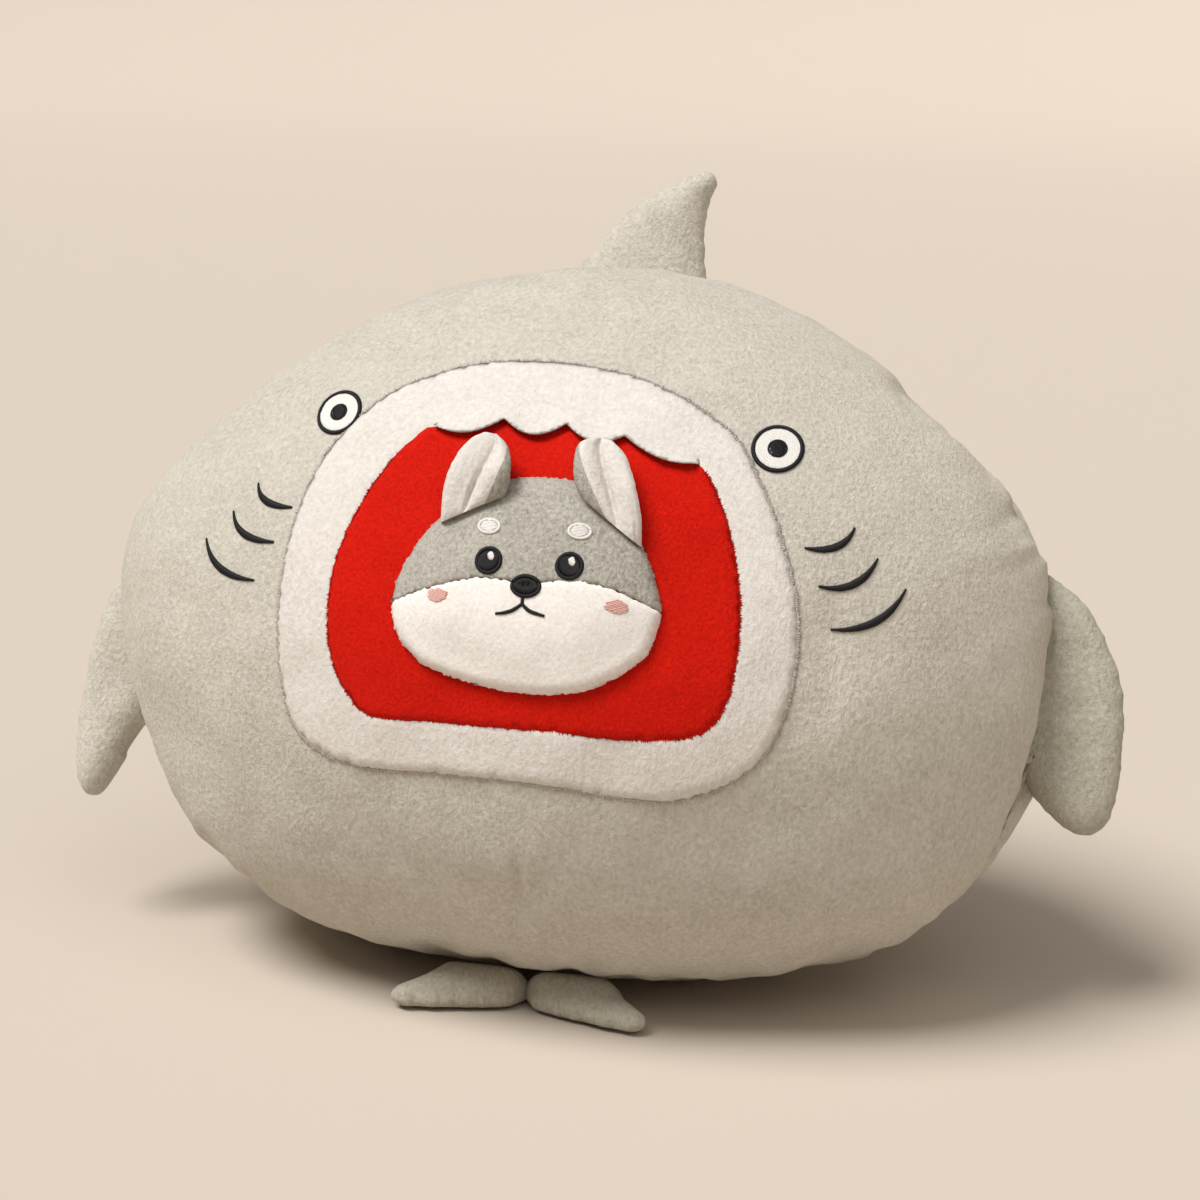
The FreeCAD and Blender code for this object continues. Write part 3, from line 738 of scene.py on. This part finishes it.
lip = lay("lip", lip_outline, lip_height, level(-0.8), fuzz=0.2, tuft=(0.5, 1.2, 0.8, 200))
finish_piece(lip, WHITE, "white_plush", "cushion", "lip_patch")
lining = lay(
    "mouth_lining_cloth", lining_outline, rounded(LIP_TOP - 0.3, LINING_TOP, 2.0, 0.25, 22, 5.0),
    level(0.0), fuzz=0.2, tuft=(LIP_TOP - 0.1, 0.7, 1.0, 68),
)
finish_piece(lining, RED, "red_plush", "cushion", "mouth_lining")


# ---- the scalloped teeth ----

FLAP_TOP = 103
# The ends of the teeth and the notches between them, and how far each tooth sags.
FLAP_CORNERS = [(-48.5, 79), (-18.6, 83.2), (7.3, 82.8), (31.8, 79.2), (62.5, 70.5)]
SCALLOP_SAGS = [4.8, 6, 5.2, 3.8]
FLAP_THICKNESS = 1.8
FLAP_RISE = 4.4


def flap_outline():
    """Free scalloped edge from left to right, then the sewn edge back over the top."""
    free = []
    for (x0, z0), (x1, z1), drop in zip(FLAP_CORNERS, FLAP_CORNERS[1:], SCALLOP_SAGS):
        for t in np.linspace(0, 1, 26, endpoint=False):
            sag = drop * (1 - abs(2 * t - 1) ** 1.9)
            free.append((x0 + (x1 - x0) * t, z0 + (z1 - z0) * t - sag))
    (left_x, left_z), (right_x, right_z) = FLAP_CORNERS[0], FLAP_CORNERS[-1]
    middle, half = (left_x + right_x) / 2, (right_x - left_x) / 2
    sewn = []
    for a in np.linspace(0, math.pi, 60, endpoint=False):
        foot = left_z + (right_z - left_z) * (0.5 + 0.5 * math.cos(a))
        rise = (FLAP_TOP - foot) * math.sin(a) ** 0.9
        sewn.append((middle + half * math.cos(a), foot + rise))
    return np.array(free), np.array(sewn)


def make_teeth():
    """Smooth white cloth, sewn flat along the top and standing off the lining below."""
    free, sewn = flap_outline()

    def position(places):
        to_sewn = Edge(places, np.vstack([sewn, sewn[::-1]])).distance
        to_free = Edge(places, np.vstack([free, free[::-1]])).distance
        return to_sewn / np.maximum(to_sewn + to_free, 1e-6), to_sewn, to_free

    def top(places):
        part, to_sewn, _ = position(places)
        hem = 0.55 * np.clip(to_sewn / 5, 0, 1) - 0.5
        wave = 0.8 * ripple(places * (1, 0), 16, 2.0, 3)
        return LIP_TOP + hem + part**2 * (FLAP_RISE + wave)

    def upper(places, edge):
        round_off = 1 - np.clip(position(places)[2] / 1.2, 0, 1)
        return top(places) - 0.5 * FLAP_THICKNESS * round_off**2

    def under(places, edge):
        _, to_sewn, to_free = position(places)
        round_off = 1 - np.clip(to_free / 1.2, 0, 1)
        thick = FLAP_THICKNESS * np.clip(0.1 + to_sewn / 12, 0, 1)
        return top(places) - thick + 0.5 * thick * round_off**2

    return lay("teeth", np.vstack([free, sewn]), upper, under, spacing=1.6, fuzz=0.04)


teeth = make_teeth()


# ---- the dog's head ----


def muzzle_line(x):
    """Height of the edge between fur and muzzle: two low humps that meet at the nose."""
    curve = along_line(MUZZLE_LINE, np.linspace(0, 1, 300))
    return np.interp(x, curve[:, 0], curve[:, 1])


def head_parts():
    """Outlines of the grey upper face and the white muzzle."""
    rim = resample(smooth_loop(HEAD), 1.0)
    above = rim[:, 1] > muzzle_line(rim[:, 0])
    first = int(np.argmax(above & ~np.roll(above, 1)))
    rim = np.roll(rim, -first, 0)
    above = np.roll(above, -first)
    crown = rim[above]
    chin = rim[~above]
    xs = np.linspace(crown[-1][0], crown[0][0], 80)[1:-1]
    line = np.stack([xs, muzzle_line(xs)], -1)
    return np.vstack([crown, line]), np.vstack([chin, line[::-1]])


head_rim = resample(smooth_loop(HEAD), 2.0)
HEAD_LOW = 3.2
HEAD_EDGE = 8.0
HEAD_RISE = 3.4


def head_height(places, edge):
    """A padded head: round at its outline and fuller inside, with a fine seam at the muzzle."""
    distance = Edge(places, head_rim).distance
    part = np.clip(distance / 4.5, 0, 1)
    height = HEAD_LOW + (HEAD_EDGE - HEAD_LOW) * dome(part)
    height += HEAD_RISE * (1 - bell(distance, 15))
    height -= 0.4 * bell(places[:, 1] - muzzle_line(places[:, 0]), 1.1) * part
    return height + 0.35 * ripple(places, 18, 6.0) * part


crown_outline, muzzle_outline = head_parts()
head_cloth = {"upper": head_height, "under": level(2.4), "spacing": 1.6, "fuzz": 0.22}
face_fur = lay("dog_fur", crown_outline, **head_cloth)
finish_piece(
    face_fur, FACE_GREY, "grey_plush", "cushion", "dog_face_fur", "dog_head_padding", fill=0.4
)
muzzle = lay("dog_muzzle_cloth", muzzle_outline, **head_cloth)
finish_piece(muzzle, MUZZLE_WHITE, "white_plush", "cushion", "dog_muzzle", fill=0.4)
face_tree = tree_of(face_fur, muzzle)

# ---- stuffed fins and flukes ----

DORSAL = [
    (-24, 161), (-17, 170), (-7, 184), (8, 201), (23, 211), (34, 216.5), (40, 217), (43, 213),
    (42.5, 206), (40.5, 200), (40, 188), (41.5, 174), (43.5, 162), (42, 150), (10, 148),
    (-22, 150),
]
PECTORAL_RIGHT = [
    (201, 49), (210, 44), (219, 37), (228, 26), (235, 12), (240, -4), (242, -24), (241, -46),
    (238, -58), (231, -65), (221, -64), (210, -56), (200, -45), (193, -33), (191, -10),
    (198, 20), (196, 44),
]
PECTORAL_LEFT = [
    (-210, 24), (-217, 18), (-223, 7), (-228, -8), (-232, -30), (-234, -56), (-233, -78),
    (-229, -88), (-223, -92), (-216, -86), (-210, -74), (-203, -60), (-197, -50), (-196, -30),
    (-200, -5), (-203, 18),
]
# Seen from above, with lengths forwards from the hinge.
FLUKE = [
    (0.6, -9), (0.8, 4), (5, 9.5), (20, 15.5), (35, 19.5), (48, 22.5), (54, 22), (57.5, 18.5),
    (56, 13.5), (50, 8), (43, 2), (40, -9),
]


def stuffed(name, outline, place, fullness, reach, cap, spacing=2.4):
    """Two panels sewn round a filling. place(flat, height) sets them where they belong."""
    rim = resample(smooth_loop(outline, 8), spacing)
    places, faces, count = fill_outline(rim, spacing)
    edge = Edge(places, rim)
    height = fullness * dome(np.clip(edge.distance / reach, 0, 1))
    outward = (edge.nearest - places) / np.maximum(edge.distance, 1e-6)[:, None]
    close = np.clip(edge.distance / 5, 0, 1)
    # The panels roll out past the seam by up to 1.5 mm.
    roll = 1.5 * 6.75 * close * (1 - close) ** 2
    moved = places + outward * roll[:, None]
    points, faces = closed_shell(place(moved, height), place(moved, -height), faces, count)
    obj = make_object(name, points, faces, closed=True)
    inflate(obj, range(count), pressure=2.0, growth=0.005, cap=cap)
    smooth = obj.modifiers.new("smooth", "SMOOTH")
    smooth.factor, smooth.iterations = 0.5, 5
    apply_modifiers(obj)
    points = read(obj.data)
    normals = read(obj.data, "normal")
    lengths = np.concatenate([edge.along, edge.along[count:]])
    distances = np.concatenate([edge.distance, edge.distance[count:]])
    way = np.concatenate([np.ones(len(places)), -np.ones(len(places) - count)])
    line = np.stack([lengths, way * 40, distances * 0.25], -1)
    gathers = fractal(line * MM, 6, 3.0, 2) * np.exp(-distances / 6) * np.clip(distances, 0, 2) / 2
    soft = fractal(points, 26, 8.0, 2) * np.clip(distances / 6, 0, 1)
    points += normals * ((0.2 * gathers + 0.35 * soft) * MM)[:, None]
    write_points(obj, points)
    subdivide(obj)
    return obj


def upright(flat, height):
    """Flat places in the seam plane, with the height towards the viewer."""
    return to_world(np.stack([flat[:, 0], -np.asarray(height), flat[:, 1]], -1))


def add_limb(name, outline, place, fullness, reach, cap, body, joint_nodes):
    """A stuffed limb sewn to the cushion; a tail fluke is pressed onto the floor."""
    limb = stuffed(name, outline, place, fullness, reach, cap)
    # The right fin and the flukes take the darker copy of the grey plush, as painted shade.
    cloth = GREY if body in ("dorsal_fin", "pectoral_fin_left") else SHADED_FIN_GREY
    finish_piece(limb, cloth, "grey_plush", None, *joint_nodes, fill=0.7)
    if body.startswith("tail"):
        rest_on_floor(limb)
    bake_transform(limb)


def parts_of(body, halves=("front_panel", "back_panel")):
    return [f"{body}_{part}" for part in (*halves, "stuffing")]


# Body, skin, outline, fullness, width of the rounded edge, most that it may swell, and the
# places in the cushion's frame between which the cloth turns from the cushion to the limb.
FINS = [
    ("dorsal_fin", "dorsal_fin_skin", DORSAL, 9, 17, 3, (9, 0, 158), (9, 0, 172)),
    ("pectoral_fin_right", "pectoral_right_skin", PECTORAL_RIGHT, 10, 15, 4, (203, 0, 54),
     (217, 0, 30)),
    ("pectoral_fin_left", "pectoral_left_skin", PECTORAL_LEFT, 11, 14, 4, (-205, 0, 24),
     (-220, 0, 8)),
]
for body, name, outline, fullness, reach, cap, *turning in FINS:
    add_limb(name, outline, upright, fullness, reach, cap, body, parts_of(body))

FLUKE_RISE = math.radians(6)
FLUKE_MIDDLE = -5.0
# How much higher a fluke's top stands where it meets the cushion.
FLUKE_CROWN = 1.15
for side, sign in (("left", -1), ("right", 1)):
    hinge = Vector(joints[f"tail_fluke_{side}_lift"]["pos_m"])

    def lying(flat, height, sign=sign, hinge=hinge):
        """Flat places on the floor in front of the hinge, with the height upwards."""
        forward = flat[:, 1]
        crown = np.clip((21 - forward) / 14, 0, 1) * np.clip((forward + 9) / 10, 0, 1) ** 0.5
        crown *= np.clip((56 - flat[:, 0]) / 22, 0, 1)
        height = height * np.where(height > 0, 1 + FLUKE_CROWN * crown, 1)
        cos, sin = math.cos(FLUKE_RISE), math.sin(FLUKE_RISE)
        x = FLUKE_MIDDLE + sign * flat[:, 0]
        y = hinge.y / MM - forward * cos + height * sin
        z = hinge.z / MM + 0.6 + forward * sin + height * cos
        return np.stack([x, y, z], -1) * MM

    body = f"tail_fluke_{side}"
    add_limb(
        f"{body}_skin", FLUKE, lying, 6.2, 9, 1.8, body,
        parts_of(body, ("top_panel", "bottom_panel")),
    )


# ---- the teeth and ears ----

finish_piece(teeth, WHITE, "smooth_white", None, "teeth_flap")
tuple(drape([(0, FLAP_TOP)], [2])[0])
tuple(drape([(0, FLAP_TOP - 9)], [2])[0])
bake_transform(teeth)

# Each ear from its base to its tip: the side away from the head's middle, then the near side.
EAR_SIDES = {
    "left": (
        [(-36.8, 37.5), (-37, 48), (-35.5, 58), (-32.5, 66.8), (-28.2, 72.5), (-22.8, 75.6)],
        [(-12, 50), (-10, 55.5), (-9.8, 60.5), (-10.5, 65.5), (-13, 70.8), (-18, 75)],
    ),
    "right": (
        [(44.8, 34), (44, 45), (41.8, 54), (39, 61.7), (34.8, 70.2), (28.5, 76)],
        [(20, 51), (16.4, 57), (15.2, 63), (14.9, 69), (16.2, 73.8), (21.5, 76.8)],
    ),
}
# Where the pleat and the grey side begin across the ear at its base, and how far they move
# towards the near side at its tip.
EAR_PLEATS = {"left": (0.36, 0.4), "right": (0.4, 0.22)}
EAR_GREY = {"left": (0.72, 0.34), "right": (0.58, 0.5)}
EAR_COLUMNS = 46
EAR_WHITE = 35
EAR_ROWS = 44
EAR_BASE_LEVEL = 9.6
EAR_THICKNESS = 2.3


def make_ear(name, sign):
    """White in front, grey behind, pleated at the base so that the near side curls over."""
    far, near = EAR_SIDES[name]
    k, v = np.meshgrid(np.linspace(0, 1, EAR_COLUMNS), np.linspace(0, 1, EAR_ROWS))
    k, v = k.ravel(), v.ravel()
    start, growth = EAR_GREY[name]
    edge = np.minimum(start + growth * v, 0.985)
    share = EAR_WHITE / (EAR_COLUMNS - 1)
    u = np.where(k <= share, edge * k / share, edge + (1 - edge) * (k - share) / (1 - share))
    a, b = along_line(far, v), along_line(near, v)
    start, growth = EAR_PLEATS[name]
    pleat = start + growth * v
    fold = (1 - v) ** 0.7
    flat = a + (b - a) * u[:, None]
    far_rise = np.clip((pleat - u) / pleat, 0, 1)
    near_rise = np.clip((u - pleat) / (1 - pleat), 0, 1)
    leaf = np.sin(far_rise * math.pi * 0.6)
    lobe = np.sin(near_rise**0.8 * math.pi * 0.74)
    middle = EAR_BASE_LEVEL + 1.2 + 3.2 * v
    middle += (1.2 + 2.6 * fold) * leaf + (1.4 + 5.2 * fold) * lobe
    middle -= 1.2 * bell(u - pleat, 0.05) * (0.3 + fold)
    tip = np.clip((1 - v) / 0.2, 0, 1)
    side = np.clip(np.minimum(u, 1 - u) / 0.14, 0, 1)
    thick = EAR_THICKNESS * dome(tip) * dome(side)
    fuzz = ripple(flat, 1.6, 12.0)
    flat = flat + (fuzz * (1 - np.minimum(side, tip)) * 0.22)[:, None] * np.array([sign, 0.6])
    front = on_ellipsoid(flat, middle + thick)
    back = on_ellipsoid(flat, middle - thick)
    # The sewn edge follows the head's padding down to the lining beside it.
    foot = drape(flat[:EAR_COLUMNS], np.full(EAR_COLUMNS, 0.4), ear_ground)
    gap = (foot - 0.5 * (front + back)[:EAR_COLUMNS]) @ np.array(BACK)
    fall = np.clip(1 - v / 0.45, 0, 1) ** 1.6
    settle = np.outer(np.tile(gap, EAR_ROWS) * fall, BACK)
    front, back = front + settle, back + settle
    index = np.arange(EAR_ROWS * EAR_COLUMNS).reshape(EAR_ROWS, EAR_COLUMNS)
    grey = [face[::-1] for face in grid_faces(index + index.size)]
    loop = border(index).tolist()
    for p, q in zip(loop, loop[1:] + loop[:1]):
        grey.append((q, p, p + index.size, q + index.size))
    white = []
    for face in grid_faces(index):
        (white if min(face) % EAR_COLUMNS < EAR_WHITE else grey).append(face)
    made = []
    for kind, faces, material, slot in (
        ("inner", white, WHITE, "white_plush"), ("outer", grey, FACE_GREY, "grey_plush")
    ):
        if sign < 0:
            faces = [face[::-1] for face in faces]
        piece = pick(f"ear_{kind}_{name}", np.vstack([front, back]), faces)
        finish_piece(piece, material, slot, None, f"dog_ear_{kind}_{name}", fill=0.15)
        made.append(piece)
    return made


def on_ellipsoid(flat, level=0.0):
    """World points in front of flat places, at levels in mm off the plain ellipsoid."""
    x, z = flat.T
    y = -(HALF_DEPTH + level) * np.sqrt(
        1 - (x / (HALF_WIDTH + level)) ** 2 - (z / (HALF_HEIGHT + level)) ** 2
    )
    return to_world(np.stack([x, y, z], -1))


def surface_out(x, z):
    """Outward unit normal of the plain ellipsoid's front, in world axes."""
    point = to_cushion(on_ellipsoid(np.array([(x, z)])))[0]
    out = point / np.array([HALF_WIDTH, HALF_DEPTH, HALF_HEIGHT]) ** 2
    return Vector(out / np.linalg.norm(out) @ TURN)


ear_ground = tree_of(face_fur, muzzle, lining, lip)
for side, sign in (("left", -1), ("right", 1)):
    ear = make_ear(side, sign)
    joint = joints[f"dog_ear_{side}_fold"]
    hinge = Vector(joint["pos_m"])
    rise = Vector(joint["axis"]).cross(surface_out(sign * 29.0, 46.0))
    if rise.z < 0:
        rise = -rise
    for piece in ear:
        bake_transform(piece)


# ---- satin stitching ----

STITCH = 0.62
STITCH_SINK = 0.15
THREAD_SIDES = 6


def sew(name, stitches, tree, thread, cad_node, radius, lift):
    """Arched threads laid over a surface, each between two flat (x, z) places."""
    rng = np.random.default_rng(SEED + len(name))
    points, faces = [], []
    ring = np.linspace(0, 2 * math.pi, THREAD_SIDES, endpoint=False)
    for stitch in stitches:
        first, last = np.asarray(stitch, float)
        length = max(np.linalg.norm(last - first), 1e-6)
        t = np.linspace(0, 1, max(4, int(length / 1.1) + 3))
        flat = first + np.outer(t, last - first)
        arch = dome(np.clip(np.minimum(t, 1 - t) * length / 0.7, 0, 1))
        height = -STITCH_SINK + (lift + rng.uniform(-0.06, 0.06)) * arch
        line = drape(flat, height, tree)
        ahead = np.gradient(line, axis=0)
        ahead /= np.linalg.norm(ahead, axis=1, keepdims=True)
        across = np.cross(ahead, np.array(BACK))
        across /= np.linalg.norm(across, axis=1, keepdims=True)
        up = np.cross(across, ahead)
        thick = radius * (0.55 + 0.45 * arch) * rng.uniform(0.94, 1.06) * MM
        index = len(points) + np.arange(len(t) * THREAD_SIDES).reshape(len(t), -1)
        for p, s, n, r in zip(line, across, up, thick):
            points += list(p + r * (np.outer(np.cos(ring), s) + np.outer(np.sin(ring), n)))
        faces += grid_faces(np.hstack([index, index[:, :1]]))
        faces += [tuple(int(n) for n in cap) for cap in (index[0, ::-1], index[-1])]
    obj = make_object(name, points, faces, closed=True)
    finish_piece(obj, THREADS[thread], thread, "cushion", cad_node)


def oval_rows(x, z, half_width, half_height, angle, pitch=STITCH, slack=0.25, seed=0):
    """Parallel stitches that fill an oval, at an angle in degrees."""
    rng = np.random.default_rng(seed)
    direction = np.array([math.cos(math.radians(angle)), math.sin(math.radians(angle))])
    side = np.array([-direction[1], direction[0]])
    radii = np.array([half_width, half_height])
    reach = np.linalg.norm(side * radii)
    rows = []
    for offset in np.arange(-reach + pitch / 2, reach, pitch):
        base = side * offset
        a = ((direction / radii) ** 2).sum()
        b = (base * direction / radii**2).sum()
        c = ((base / radii) ** 2).sum() - 1
        root = b * b - a * c
        if root <= 0:
            continue
        ends = [(-b + way * math.sqrt(root)) / a for way in (-1, 1)]
        ends = [end + rng.uniform(-slack, slack) * 0.5 for end in ends]
        rows.append([(x, z) + base + direction * end for end in ends])
    return rows


def oval_ring(x, z, half_width, half_height, width, pitch=STITCH, slant=0.25):
    """Radial satin stitches round an oval's edge."""
    count = int(2 * math.pi * (half_width + half_height) / 2 / pitch)
    radii = np.array([half_width, half_height])
    made = []
    for angle in np.linspace(0, 2 * math.pi, count, endpoint=False):
        lean = angle + slant * width / half_width
        inner = (radii - width) * (math.cos(lean), math.sin(lean))
        made.append([(x, z) + inner, (x, z) + radii * (math.cos(angle), math.sin(angle))])
    return made


def stroke(points, widths, pitch=STITCH, slant=0.35):
    """Satin stitches across a curved line whose width varies along it."""
    fine = along_line(points, np.linspace(0, 1, 200))
    gone = np.concatenate([[0], np.cumsum(np.linalg.norm(np.diff(fine, axis=0), axis=1))])
    made = []
    for s in np.arange(pitch / 2, gone[-1], pitch):
        place = np.array([np.interp(s, gone, fine[:, i]) for i in (0, 1)])
        ahead = np.array(
            [np.subtract(*np.interp((s + 0.3, s - 0.3), gone, fine[:, i])) for i in (0, 1)]
        )
        ahead /= np.linalg.norm(ahead)
        side = np.array([-ahead[1], ahead[0]])
        half = np.interp(s / gone[-1], np.linspace(0, 1, len(widths)), widths) / 2
        made.append([place - side * half - ahead * slant * half,
                     place + side * half + ahead * slant * half])
    return made


SHARK_EYES = {"left": (-94.5, 83.8), "right": (91.3, 81)}
# Each gill from its outer end through its lowest bend to its inner end.
GILLS = {
    "left": [
        [(-126.3, 51.5), (-120.5, 43.6), (-106.9, 41.2)],
        [(-136.5, 39), (-129, 29.2), (-112.9, 26.2)],
        [(-148.5, 26.8), (-139.1, 14.3), (-120.8, 9.8)],
    ],
    "right": [
        [(125, 51.6), (119, 43), (106.7, 41)],
        [(135.2, 40.2), (127, 28.6), (113.3, 26.2)],
        [(147.2, 29), (136.8, 14.6), (119.5, 9.5)],
    ],
}
GILL_WIDTHS = [0.5, 1.7, 2.8, 3.2, 2.8, 1.8, 0.6]
DOG_EYES = {"left": (-14.3, 23.6), "right": (18.3, 23.9)}
DOG_BROWS = {"left": (-16.2, 37.5), "right": (20.6, 38.1)}
DOG_CHEEKS = {"left": (-33.8, 8.5), "right": (38.2, 9.7)}
NOSE = (1.9, 14.6)


def bow(first, middle, last, t=np.linspace(0, 1, 9)):
    """Points on the parabola through three points."""
    first, middle, last = map(np.array, (first, middle, last))
    t = t[:, None]
    return list(
        2 * (t - 0.5) * (t - 1) * first - 4 * t * (t - 1) * middle + 2 * t * (t - 0.5) * last
    )


for side, sign in (("left", -1), ("right", 1)):
    x, z = SHARK_EYES[side]
    white = oval_rows(x, z, 9.4, 9.4, 78, seed=3)
    ring = oval_ring(x, z, 10.5, 10.3, 1.9, 0.55)
    pupil = oval_rows(x, z, 3.4, 3.4, 20, 0.5, seed=4) + oval_ring(x, z, 4.0, 3.9, 0.9, 0.5)
    gills = [stitch for line in GILLS[side] for stitch in stroke(bow(*line), GILL_WIDTHS, 0.55)]
    for name, stitches, thread, cad_node, radius, lift in (
        ("eye_white", white, "white_thread", "shark_eye_white", 0.4, 0.5),
        ("eye_ring", ring, "black_thread", "shark_eye_ring", 0.42, 1.0),
        ("eye_pupil", pupil, "black_thread", "shark_eye_pupil", 0.36, 1.2),
        ("gills", gills, "black_thread", "gill_stitching", 0.42, 0.8),
    ):
        sew(f"{name}_{side}", stitches, skin_tree, thread, f"{cad_node}_{side}", radius, lift)

    x, z = DOG_EYES[side]
    eye = oval_rows(x, z, 4.4, 4.4, 60 * sign, 0.5, seed=5) + oval_ring(x, z, 5.7, 5.7, 1.6, 0.5)
    glint = oval_rows(x + 0.9, z + 1.8, 1.25, 2.2, 80, 0.45, seed=6)
    brow = oval_ring(*DOG_BROWS[side], 4.9, 3.4, 1.2, 0.5)
    brow += oval_rows(*DOG_BROWS[side], 3.8, 2.3, 0, 0.6, seed=7)
    cheek = oval_rows(*DOG_CHEEKS[side], 4.6, 2.7, 18 * sign, 0.62, slack=1.6, seed=8)
    for name, stitches, thread, cad_node, radius, lift in (
        ("dog_eye_thread", eye, "black_thread", "dog_eye", 0.38, 0.7),
        ("dog_glint", glint, "white_thread", "dog_eye_glint", 0.34, 1.15),
        ("dog_brow_thread", brow, "white_thread", "dog_brow", 0.38, 0.6),
        ("dog_cheek_thread", cheek, "pink_thread", "dog_cheek", 0.3, 0.42),
    ):
        sew(f"{name}_{side}", stitches, face_tree, thread, f"{cad_node}_{side}", radius, lift)

nose = oval_rows(*NOSE, 4.8, 3.4, 90, 0.5, seed=9) + oval_ring(*NOSE, 6.2, 4.7, 1.5, 0.5)
sew("dog_nose_thread", nose, face_tree, "black_thread", "dog_nose", 0.42, 0.75)
mouth = stroke([(1.2, 10.4), (1.2, 8.6), (1.2, 6.8)], [1.3, 1.3, 1.3], 0.5)
for arm in (
    [(1.2, 7.4), (-2.4, 4.6), (-6, 3.3), (-9, 2.8)],
    [(1.2, 7.4), (4.2, 5), (7.6, 4), (10.6, 3.4)],
):
    mouth += stroke(arm, [1.2, 1.5, 1.4, 0.9], 0.5)
sew("dog_mouth_thread", mouth, face_tree, "black_thread", "dog_mouth_stitching", 0.36, 0.6)


# ---- camera, light and floor ----

CAMERA_DISTANCE = 1.080
CAMERA_RISE = math.radians(15.5)
CAMERA_TURN = math.radians(10.9)
CAMERA_ROLL = math.radians(2.0)
LENS = 72
PHOTO_WIDTH = 1200


def make_camera():
    """The viewpoint: a little above and to the right of the cushion."""
    data = bpy.data.cameras.new("camera")
    data.lens = LENS
    data.sensor_width = 36
    data.shift_x = 19 / PHOTO_WIDTH
    data.shift_y = 42 / PHOTO_WIDTH
    data.clip_end = 200
    camera = bpy.data.objects.new("camera", data)
    scene.collection.objects.link(camera)
    flat = math.cos(CAMERA_RISE)
    away = Vector(
        (math.sin(CAMERA_TURN) * flat, -math.cos(CAMERA_TURN) * flat, math.sin(CAMERA_RISE))
    )
    look = (-away).to_track_quat("-Z", "Y").to_matrix().to_4x4()
    roll = Matrix.Rotation(CAMERA_ROLL, 4, "Z")
    camera.matrix_world = Matrix.Translation(CENTRE + away * CAMERA_DISTANCE) @ look @ roll
    scene.camera = camera


def sun(name, towards, spread, strength, colour):
    """A distant soft light from a direction; spread is its angle in degrees."""
    data = bpy.data.lights.new(name, "SUN")
    data.angle = math.radians(spread)
    data.energy = strength
    data.color = colour
    light = bpy.data.objects.new(name, data)
    light.rotation_euler = Vector(towards).to_track_quat("Z", "Y").to_euler()
    scene.collection.objects.link(light)


FLOOR_COLOUR = (0.54, 0.47, 0.40, 1)
FLOOR_SIDES = 96


def make_stage():
    """A pale floor that curves up into a low wall all round, under soft studio light."""
    turns = np.linspace(0, 2 * math.pi, FLOOR_SIDES, endpoint=False)
    arc = np.linspace(0, math.pi / 2, 14)
    profile = [(1.0, 0.0), *((6 + 3 * math.sin(a), 3 - 3 * math.cos(a)) for a in arc), (9, 4.5)]
    points = [(r * math.cos(t), r * math.sin(t), z) for r, z in profile for t in turns]
    index = np.arange(len(points)).reshape(len(profile), -1)
    index = np.hstack([index, index[:, :1]])
    rings = [face[::-1] for face in grid_faces(index)]
    floor = make_object("floor", points, [tuple(range(FLOOR_SIDES))] + rings)
    material, _, shader = new_material("floor")
    shader.inputs["Base Color"].default_value = FLOOR_COLOUR
    shader.inputs["Roughness"].default_value = 0.9
    floor.data.materials.append(material)
    sun("key", (-0.45, -0.36, 1.0), 28, 3.65, (1.0, 0.988, 0.972))
    sun("fill", (0.3, -0.5, 1.0), 50, 0.75, (1.0, 0.99, 0.98))
    world = bpy.data.worlds.new("world")
    world.use_nodes = True
    backdrop = world.node_tree.nodes["Background"]
    backdrop.inputs["Color"].default_value = (1.0, 0.985, 0.965, 1)
    backdrop.inputs["Strength"].default_value = 0.14
    scene.world = world


make_camera()
make_stage()
